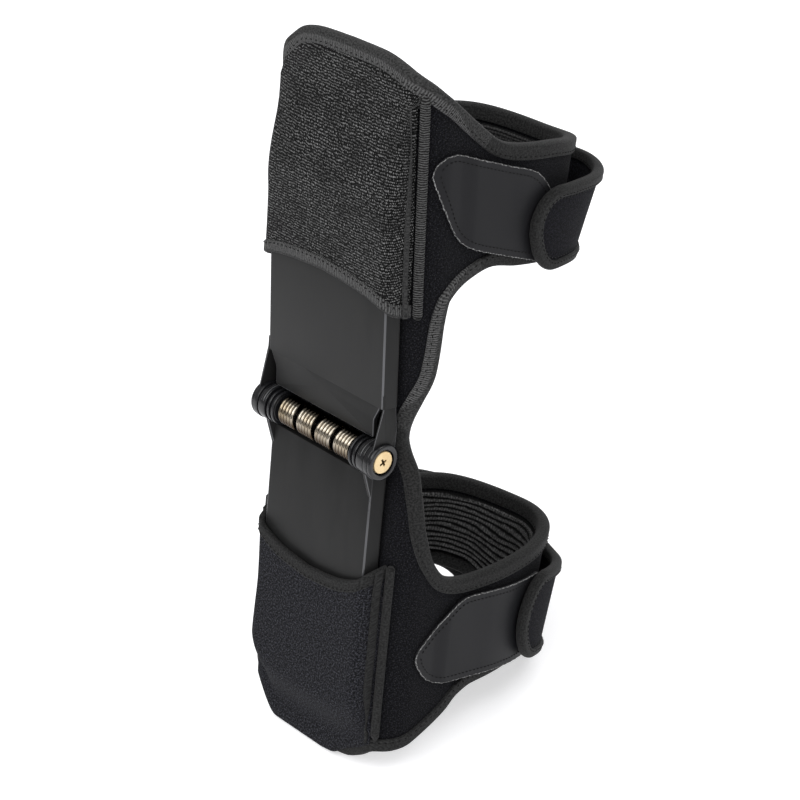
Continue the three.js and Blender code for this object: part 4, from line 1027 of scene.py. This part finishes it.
def build_cord(name, side, word):
    """Cord along the seam: a tube on the panel, with threads wound round the thigh's in low relief. Its
    end tucks into the panel, the left one over a longer way."""
    p = POCKETS[name]
    edge_x = p["section"][LAST][1]
    at = side * (edge_x + p["cord_out"])
    low, high = float(table(p["mouth"], edge_x)), float(p["goal"](np.float64(at)))
    a = circle(18)
    v = np.linspace(-0.01, 1, 260)[:, None]
    z = low + (high - low) * v
    wound = WOUND * np.abs(np.sin(z / WOUND_STEP)) if name == "thigh" else PLAIN_RELIEF
    tuck = rise(v, *(CORD_TUCK if side > 0 else LEFT_TUCK))
    r = CORD_R * (np.minimum(1, 0.6 + (v + 0.01) * 30) * (1 - 0.6 * tuck)) + wound
    out = PANEL_T / 2 + CORD_GAP + CORD_R * (1 - 0.75 * tuck) + r * np.sin(a)
    points = on_panel(p["cuff"])(at + r * np.cos(a), z, out)
    shape = Shape().rod(points, np.abs(z - low)[:, 0], a * CORD_R)
    shape.build(f"{name}_seam_cord_{word}", [p["cord"]], "binding_cloth", f"{name}_piping_{word}", sharp=40)


pockets = {name: build_pocket(name) for name in POCKETS}
for name in POCKETS:
    build_hem(name)
for word, side in SIDES:
    for name in POCKETS:
        build_tape(name, side, word)
        build_cord(name, side, word)

# Outer straps: middle height and width by distance from the rear middle
STRAPS = {
    "thigh": dict(half=58.2, reach=105, middle=((0, 78.6), (40, 83.4), (80, 92), (118, 98)),
                  height=((0, 35.6), (80, 37.6), (118, 39.5)), drop=3, left_lift=0),
    "calf": dict(half=58.8, reach=88, height=((0, 46), (80, 44), (106, 44)), drop=-3, left_lift=12,
                 middle=((0, -135.6), (18, -134.8), (40, -129), (80, -115.5), (106, -110.5))),
}
STRAP_OUT, STRAP_ROUND, STRAP_BIND_W, STRAP_CONE_FROM, STRAP_ROWS = 6.2, 17.0, 3.6, 40, (2.6, 4.6)
for name, k in STRAPS.items():
    c = CUFFS[name]
    k["tip"] = c["tip"] + STRAP_OUT + c["slack"]
    k["plan"] = path(arc(0, k["half"], c["side"], k["tip"] - c["side"], math.pi / 2, -0.35, 200))


def strap_at(name, t, z):
    """Middle of a strap: an ellipse round the cuff at t from the rear, flaring with height z."""
    k, c = STRAPS[name], CUFFS[name]
    t, z = np.broadcast_arrays(np.asarray(t, float), np.asarray(z, float))
    xd = k["plan"](np.abs(t))
    back = rise(xd[..., 1], STRAP_CONE_FROM, k["tip"] - STRAP_CONE_FROM)
    y = setback(z) + xd[..., 1] + c["strap_cone"] * (z - c["strap_mid"]) * back
    return np.stack([np.where(t <= 0, xd[..., 0], -xd[..., 0]), y, z], -1)


def strap_edges(name, t):
    """Lower and upper edge of a strap at t, rounded at its ends."""
    k, far = STRAPS[name], np.abs(t)
    share = np.clip((far - k["reach"] + STRAP_ROUND) / STRAP_ROUND, 0, 1)
    middle = (table(k["middle"], far) + k["drop"] * np.clip((far - 80) / 30, 0, 1) ** 2
              + k["left_lift"] * rise(t, 10, 34))
    half = table(k["height"], far) / 2 * np.sqrt(np.maximum(0.03, 1 - share**2))
    return middle - half, middle + half


def build_strap(name):
    """Strap of loop cloth with a bound edge and three rows of stitches: one on each face of the binding
    and one beside it."""
    place = partial(offset, partial(strap_at, name))
    r = STRAPS[name]["reach"]
    inner = r - STRAP_ROUND
    t = np.unique(np.concatenate([spaced(-r, -inner, 0.6), spaced(-inner, inner, 2), spaced(inner, r, 0.6)]))
    low, high = strap_edges(name, t)
    tt, z = strip(t, low, high, np.linspace(0, 1, 31))
    faces = (place(tt, z, out) for out in (STRAP_T / 2, -STRAP_T / 2))
    shape = Shape().shell(*faces, np.stack([tt, z], -1))
    made = shape.build(f"{name}_strap_cloth", [WEBBING], "strap_web", f"{name}_strap", sharp=70)
    outline = even(round_trip(t, low, high), step=1.5)
    bound(f"{name}_strap_bound_edge", f"{name}_strap_binding", outline, place, STRAP_T, STRAP_BIND_W,
          [PLAIN_TAPE], floor=name == "calf")
    over = STRAP_T / 2 + BIND_GAP + BIND_T
    near, far = STRAP_ROWS
    rows = ((near, over, DARK_THREAD), (near, -over, DARK_THREAD), (far, STRAP_T / 2, THREAD))
    for row, (depth, out, thread) in enumerate(rows):
        track = outline + inward(outline) * depth
        stitches(f"{name}_strap_stitches_{row + 1}", place, *track.T, out, thread, "strap_web",
                 length=1.5, gap=1.3, r=0.28)
    return sew(made, place(tt, z, 0))


straps = {name: build_strap(name) for name in STRAPS}

# Hook tabs: distance from the middle, upper and lower edge
TABS = {
    "thigh": ((49.6, 141, 137), (51.4, 144.4, 131.5), (55, 147, 120.5), (59, 147, 110.8), (64.5, 145, 103.2),
              (71, 142, 98.6), (90, 133.2, 90), (108, 124.8, 82.4), (118, 115, 78), (126, 104, 74.5)),
    "calf": ((56, -104.6, -109.4), (58.4, -101.6, -114.2), (63, -98, -120.4), (70, -92.4, -125.4),
             (78, -86.6, -127.8), (84, -84.8, -129), (98, -87.2, -131.8), (115, -91, -135.4),
             (133, -95, -139.4), (142, -97.2, -141.4)),
}
TAB_OUT, TAB_LIFT = PANEL_T / 2 + 0.4, BIND_GAP + BIND_T
TAB_RISE, NOSE_LIFT, LEFT_SHARE, TAB_INSET = {"thigh": 62, "calf": 66}, 2.2, 0.8, 0.99
RAW_IN, RAW_W, RAW_OVER, RAW_UNDER, FRAY, TAB_ROW = 0.05, 0.5, 0.08, 0.5, 0.22, 3.0


def build_tab(name, side, word):
    """Leather tab on the wing: two faces, a pale raw edge round it and a row of stitches inside."""
    rows = TABS[name]
    start, stop = rows[0][0], rows[-1][0]
    lift = STRAPS[name]["left_lift"] * LEFT_SHARE if side < 0 else 0

    def place(s, z, out):
        """On the panel, lifted over its bound edge, and on the left also at the nose."""
        at = TAB_OUT + TAB_LIFT * rise(np.abs(s), TAB_RISE[name], 10)
        at = at + (NOSE_LIFT * (1 - rise(-s, 52, 14)) if side < 0 else 0)
        return on_panel(name)(s, z + lift, at + out)
    a = start + (stop - start) * np.linspace(0, 1, 110) ** 1.6
    top, low = table(rows, a, 1), table(rows, a, 2)
    outline = even(round_trip(a, low, top), step=1.2)
    for _ in range(3):
        outline = (np.roll(outline, 1, 0) + 2 * outline + np.roll(outline, -1, 0)) / 4
    outline[:, 0] *= side
    ss, z = strip(a * side, low, top, np.linspace(0, 1, 25))
    ss, z = (c + (w - c) * TAB_INSET for w, c in ((ss, (start + stop) / 2 * side), (z, float(np.mean(z)))))
    back = place(ss, z, 0)
    shape = Shape().shell(place(ss, z, TAB_T), back, np.stack([ss, z], -1))
    made = shape.build(f"{name}_tab_leather_{word}", [LEATHER], "tab_leather", f"{name}_tab_{word}")
    under, over = TAB_T - RAW_UNDER, TAB_T + RAW_OVER
    section = rounded([(RAW_IN, under), (RAW_W, under), (RAW_W, over), (RAW_IN, over)], 0.2)
    d = inward(outline)
    count = np.arange(len(outline))
    fray = FRAY * np.sin(count * 2.1) * np.sin(count * 0.7)
    deep = section[:, 0] + fray[:, None]
    points = place(outline[:, :1] + d[:, :1] * deep, outline[:, 1:] + d[:, 1:] * deep, section[:, 1])
    net = np.concatenate([points, points[:1]])
    shape = Shape().grid(net, crossed(measure(net), np.linspace(0, 5, len(section))), wrap=True)
    shape.build(f"{name}_tab_raw_edge_{word}", [RAW_EDGE], "tab_leather")
    stitches(f"{name}_tab_stitches_{word}", place, *(outline + d * TAB_ROW).T, TAB_T, DARK_THREAD,
             "tab_leather", length=1.7, gap=0.8, r=0.24)
    return sew(made, back)


tabs = [build_tab(name, side, word) for name in TABS for word, side in SIDES]


# Hard pieces
def prism(shape, outline, a, b, bevel, put, corners=(), worn=True):
    """A flat outline carried from depth a to b with bevelled rims; put(flat, depth) gives the points.
    The rims where marked, and the numbered rounded corners of the outline, get the second material: a lighter
    plastic that paints a highlight along the edges."""
    part = bevel * 0.3
    rings = ((bevel, a), (part, a + part), (0, a + bevel), (0, b - bevel), (part, b - part), (bevel, b))
    points = np.stack([put(outline + inward(outline, 0) * r, depth) for r, depth in rings])
    kind = np.ones((len(rings) - 1, len(outline)), int) * worn
    kind[2] = np.isin(np.arange(len(outline)), corners)
    shape.grid(points, wrap=True, kind=kind).cap(points[0]).cap(points[-1])


def lathe(shape, profile, side=1, turns=72, kind=0):
    """A profile of (place along X, radius) turned round the shaft, on the side given."""
    a = circle(turns)
    x, r = np.array(profile, float).T[..., None]
    points = np.stack(np.broadcast_arrays(x * side, r * np.cos(a), r * np.sin(a)), -1)
    shape.grid(points, wrap=True, kind=kind)


def rim(x0, x1, r, bevel=0.45):
    """Profile of a disc from x0 to x1 with rounded rims: quarter circles of the bevel's size."""
    turn = [(bevel * (1 - math.sin(t)), r - bevel * (1 - math.cos(t)))
            for t in np.linspace(0, math.pi / 2, 5)]
    first, second = [(x0 + x, q) for x, q in reversed(turn)], [(x1 - x, q) for x, q in turn]
    return [(x0, 0)] + first + second + [(x1, 0)]


def plate_shell(shape, half, z0, z1, angle):
    """Channel of a plate: face in front, side walls flaring to the back, all corners rounded."""
    back = half + PLATE_FLARE
    right = [(half, 0), (back, PLATE_DEPTH), (back - PLATE_WALL, PLATE_DEPTH),
             (half - PLATE_WALL, PLATE_WALL)]
    outline = rounded(right + [(-x, y) for x, y in reversed(right)], 1.1, 5)
    last = len(outline)
    # The rounded corners between the face and the side walls get the painted edge highlight
    prism(shape, outline, z0, z1, 0.3, put=lambda flat, z: leaned(angle, flat[:, 0], flat[:, 1], z),
          corners=(1, 2, 3, last - 5, last - 4, last - 3), worn=False)


def ear(gusset, up):
    """Side outline of an ear: round about the shaft and running along the side wall as a gusset."""
    a = np.radians(-EAR_FROM + np.linspace(0, 1, 25) * EAR_FROM * EAR_PAST)
    points = [(EYE_R * math.cos(t), up * EYE_R * math.sin(t)) for t in a]
    top = up * (gusset + GUSSET_MORE)
    wall = [(PLATE_DEPTH, up * EAR_FOOT), (PLATE_DEPTH, top), (EAR_FRONT, top), (EAR_FRONT, up * gusset)]
    return rounded(points + wall, 0.4, 2)


def build_thigh_plate():
    """Thigh plate: shell above the notches, narrower lip below, gussets, eyes and ringed bosses."""
    shape = Shape()
    plate_shell(shape, THIGH_HALF, NOTCH_TOP, THIGH_TOP, THIGH_TILT)
    inner, outer = THIGH_HALF - NOTCH_IN, THIGH_HALF - NOTCH_LIP
    lip = [(inner, THIGH_FOOT), (inner, NOTCH_TOP - NOTCH_SLANT), (outer, NOTCH_TOP), (outer, NOTCH_TOP + 8)]
    lip = [(-inner, THIGH_FOOT)] + lip + [(-x, z) for x, z in reversed(lip[1:])]
    prism(shape, rounded(lip, 1.0, 4), 0.02, PLATE_WALL, 0.45,
          lambda flat, y: leaned(THIGH_TILT, flat[:, 0], y, flat[:, 1]))
    outline = ear(THIGH_GUSSET, 1)
    wall = THIGH_HALF + WEB_GAP
    for _, side in SIDES:
        def put(flat, x):
            """The ear stands on the side wall and thins into it at the top, and under the boss."""
            full = smooth((THIGH_GUSSET + GUSSET_MORE - flat[:, 1]) / 14) * rise(flat[:, 1], 5, 6)
            out = wall + (x - wall) * (0.15 + 0.85 * full)
            return leaned(THIGH_TILT, side * out, flat[:, 0], flat[:, 1])
        # The ear's rims below the gusset's top get the painted edge highlight
        prism(shape, outline, wall, wall + WEB, 0.35, put, worn=outline[:, 1] < THIGH_GUSSET)
    shape.build("thigh_hard_plate", [PLASTIC, EDGE_HIGHLIGHT], "plate_plastic", "thigh_plate", sharp=35)
    rings = Shape()
    cup, sunk = SCREW_R + 0.8, BOSS_OUT - SCREW_SINK - SCREW_T
    bowl = [(BOSS_OUT - 0.4, cup), (sunk, cup), (sunk, 0)]
    bead = ((1.8, 0.25), (0.8, 0.2), (0.3, 0.45), (0, 1.0))
    bead = [(BOSS_OUT - x, EYE_R - r) for x, r in bead]
    bead += [(BOSS_OUT - 0.1, cup + 0.5), (BOSS_OUT - 0.4, cup)]
    for _, side in SIDES:
        lathe(rings, rim(BOSS_IN, BOSS_OUT - COLLAR_W, EYE_R, 0.35), side)
        lathe(rings, [(sunk - 0.4, 0), (sunk - 0.4, EYE_R - 0.5)] + bead, side)
        # The cup's bowl gets the near-black material, painted shade in the recess round the screw
        lathe(rings, bowl, side, kind=1)
    rings.build("hinge_bosses", [BOSS, PAINTED_SHADE_CUP], "plate_plastic", sharp=50)


def build_shin_plate():
    """Shin plate: shell, gussets inside the thigh's ears, eyes and ribbed spring sleeves."""
    shape, rings = Shape(), Shape()
    plate_shell(shape, SHIN_HALF, -SHIN_END, -SHIN_HEAD, SHIN_TILT)
    for _, side in SIDES:
        prism(shape, ear(SHIN_GUSSET, -1), SHIN_HALF - WEB, SHIN_HALF, 0.35,
              lambda flat, x: leaned(SHIN_TILT, side * x, flat[:, 0], flat[:, 1]))
        lathe(rings, rim(SHIN_EYE_IN, SHIN_EYE_OUT, EYE_R - 0.3), side)
        lathe(rings, rim(KNUCKLE_IN, SHIN_EYE_IN, KNUCKLE_R, 0.3), side)
        for at in RIBS_AT:
            lathe(rings, rim(at, at + RIB_W, RIB_R, 0.5), side)
    shape.build("shin_hard_plate", [PLASTIC, EDGE_HIGHLIGHT], "plate_plastic", "shin_plate", sharp=35)
    rings.build("spring_sleeves", [BOSS], "plate_plastic", sharp=50)


def build_shaft():
    """Turned shaft with shallow rings between the coils."""
    half = BOSS_OUT - SCREW_SINK - SCREW_T - 0.6
    x = np.linspace(-half, half, 161)
    r = SHAFT_R - GROOVE * (np.sin(x * 2.4) > 0.96)
    shape = Shape()
    lathe(shape, [(-half, 0)] + list(zip(x, r)) + [(half, 0)], turns=40)
    shape.build("turned_shaft", [STEEL], "shaft_steel", "hinge_shaft", sharp=50)


def build_screw(side, word):
    """Screw head: crowned disc with a soft rim, whose cross recess is a smooth pit along two arms."""
    share = np.concatenate([np.linspace(0, 0.96, 49), [0.965, 0.98, 0.995, 1, 1, 0]])
    rr, aa = np.meshgrid(SCREW_R * share, circle(96), indexing="ij")
    y, z = rr * np.cos(aa), rr * np.sin(aa)
    depth = SCREW_DOME * (1 - (rr / SCREW_R) ** 2) - np.maximum(0, rr / SCREW_R - 0.965) * 9
    depth[-2:] = -SCREW_T
    for turn in CROSS_TURNS:
        p, q = y * math.cos(turn) + z * math.sin(turn), -y * math.sin(turn) + z * math.cos(turn)
        arm = smooth((CROSS_REACH - np.abs(p)) / 0.6) * smooth((CROSS_HALF - np.abs(q)) / 0.25)
        depth = np.minimum(depth, SCREW_DOME - CROSS_DEEP * arm)
    points = np.stack([side * (BOSS_OUT - SCREW_SINK - SCREW_DOME + depth), y, z], -1)
    # Faces deep in the cross get the dark material: painted shade in the recess
    cross = (depth[:-1] < SCREW_DOME - 0.5) & (rr[:-1] < SCREW_R / 2)
    shape = Shape().grid(points, wrap=True, kind=cross.astype(int))
    shape.build(f"cross_screw_{word}", [BRASS, PAINTED_SHADE_RECESS], "screw_brass", f"hinge_screw_{word}", sharp=40)


def build_spring(number, at, hand):
    """Torsion spring: a helix of round wire about the shaft whose ends run straight up and down as legs."""
    a = np.linspace(0, TURNS * 2 * math.pi, TURNS * 40 + 1)
    x = at - hand * TURNS * PITCH / 2 + hand * PITCH * a / (2 * math.pi)
    coil = np.stack([x, COIL_R * np.cos(a), COIL_R * np.sin(a)], -1)
    t = np.linspace(1, 0, 10)[:-1, None]
    low = np.array([0, -math.tan(SHIN_TILT) * LEG, -LEG]) * t + coil[0]
    high = (np.array([0, math.tan(THIGH_TILT) * LEG, LEG]) * t + coil[-1])[::-1]
    line = np.concatenate([low, coil, high])
    along = unit(np.gradient(line, axis=0))
    side = unit(np.array([1.0, 0, 0]) - along * along[:, :1])
    b = circle(14)
    points = tube(line, side, np.cross(along, side), WIRE_R, b)
    shape = Shape().rod(points, measure(points), b)
    shape.build(f"torsion_spring_{number}", [BRONZE], "spring_steel", f"spring_{number}")


build_thigh_plate()
build_shin_plate()
build_shaft()
for word, side in reversed(SIDES):
    build_screw(side, word)
for index, at in enumerate(SPRING_AT):
    build_spring(index + 1, at, 1 if index < 2 else -1)


for made in tabs:
    name, _, _, word = made.name.split("_")

# Stage
FLOOR_HALF, SKY = 4, 0.35
floor_mesh = bpy.data.meshes.new("floor")
floor_corners = [(x * FLOOR_HALF, y * FLOOR_HALF, 0) for x, y in ((-1, -1), (1, -1), (1, 1), (-1, 1))]
floor_mesh.from_pydata(floor_corners, [], [(0, 1, 2, 3)])
floor = bpy.data.objects.new("floor", floor_mesh)
bpy.context.scene.collection.objects.link(floor)
pale, nodes, shader = begin("pale_floor")
paint(nodes, shader, Base_Color=(0.8, 0.8, 0.82, 1), Roughness=0.9, Specular_IOR_Level=0,
      Emission_Color=(1, 1, 1, 1), Emission_Strength=0.5)
floor_mesh.materials.append(pale)

studio = bpy.data.worlds.new("studio")
bpy.context.scene.world = studio
studio.use_nodes = True
studio.node_tree.nodes["Background"].inputs[0].default_value = (1, 1, 1, 1)
studio.node_tree.nodes["Background"].inputs[1].default_value = SKY


def soft_light(name, place, target, size, watts):
    """A square soft light at a place, turned to a target, in metres."""
    lamp = bpy.data.lights.new(name, "AREA")
    lamp.shape = "SQUARE"
    lamp.size = size
    lamp.energy = watts
    made = bpy.data.objects.new(name, lamp)
    made.location = place
    made.rotation_euler = (Vector(target) - Vector(place)).to_track_quat("-Z", "Y").to_euler()
    bpy.context.scene.collection.objects.link(made)


soft_light("overhead", (0.2, -1.0, 1.7), (0, 0, 0.2), 2.0, 24)
soft_light("key", (-0.5, -1.4, 1.6), (0, 0, 0.18), 0.7, 5)
soft_light("side", (1.6, -0.9, 0.9), (0, 0, 0.2), 0.8, 4)
soft_light("rim", (0.9, 0.7, 1.5), (0, 0, 0.2), 0.6, 6)
soft_light("behind", (-0.7, 1.6, 1.0), (0, 0, 0.2), 1.2, 14)

# Camera at the photograph's angle, fitted in the hinge frame
AZIMUTH, ELEVATION = math.radians(48), math.radians(29)
DISTANCE, SHIFT_RIGHT, SHIFT_UP = 1300.0, 35.72, 13.49
FOCAL_PX, PICTURE_PX, SENSOR = 2795.0, 800, 36
back = np.array([math.sin(AZIMUTH) * math.cos(ELEVATION), -math.cos(AZIMUTH) * math.cos(ELEVATION),
                 math.sin(ELEVATION)])
right = np.array([math.cos(AZIMUTH), math.sin(AZIMUTH), 0])
up = np.cross(back, right)
eye = world(back * DISTANCE + right * SHIFT_RIGHT + up * SHIFT_UP)
axes = [(world(v) - world(np.zeros(3))) * MM for v in (right, up, back)]
lens = bpy.data.cameras.new("camera")
lens.sensor_width = SENSOR
lens.lens = FOCAL_PX / PICTURE_PX * SENSOR
lens.clip_start, lens.clip_end = 0.05, 50
camera = bpy.data.objects.new("camera", lens)
camera.matrix_world = Matrix.Translation(Vector(eye)) @ Matrix(np.array(axes).T.tolist()).to_4x4()
bpy.context.scene.collection.objects.link(camera)
bpy.context.scene.camera = camera
bpy.context.scene.view_settings.view_transform = "Standard"
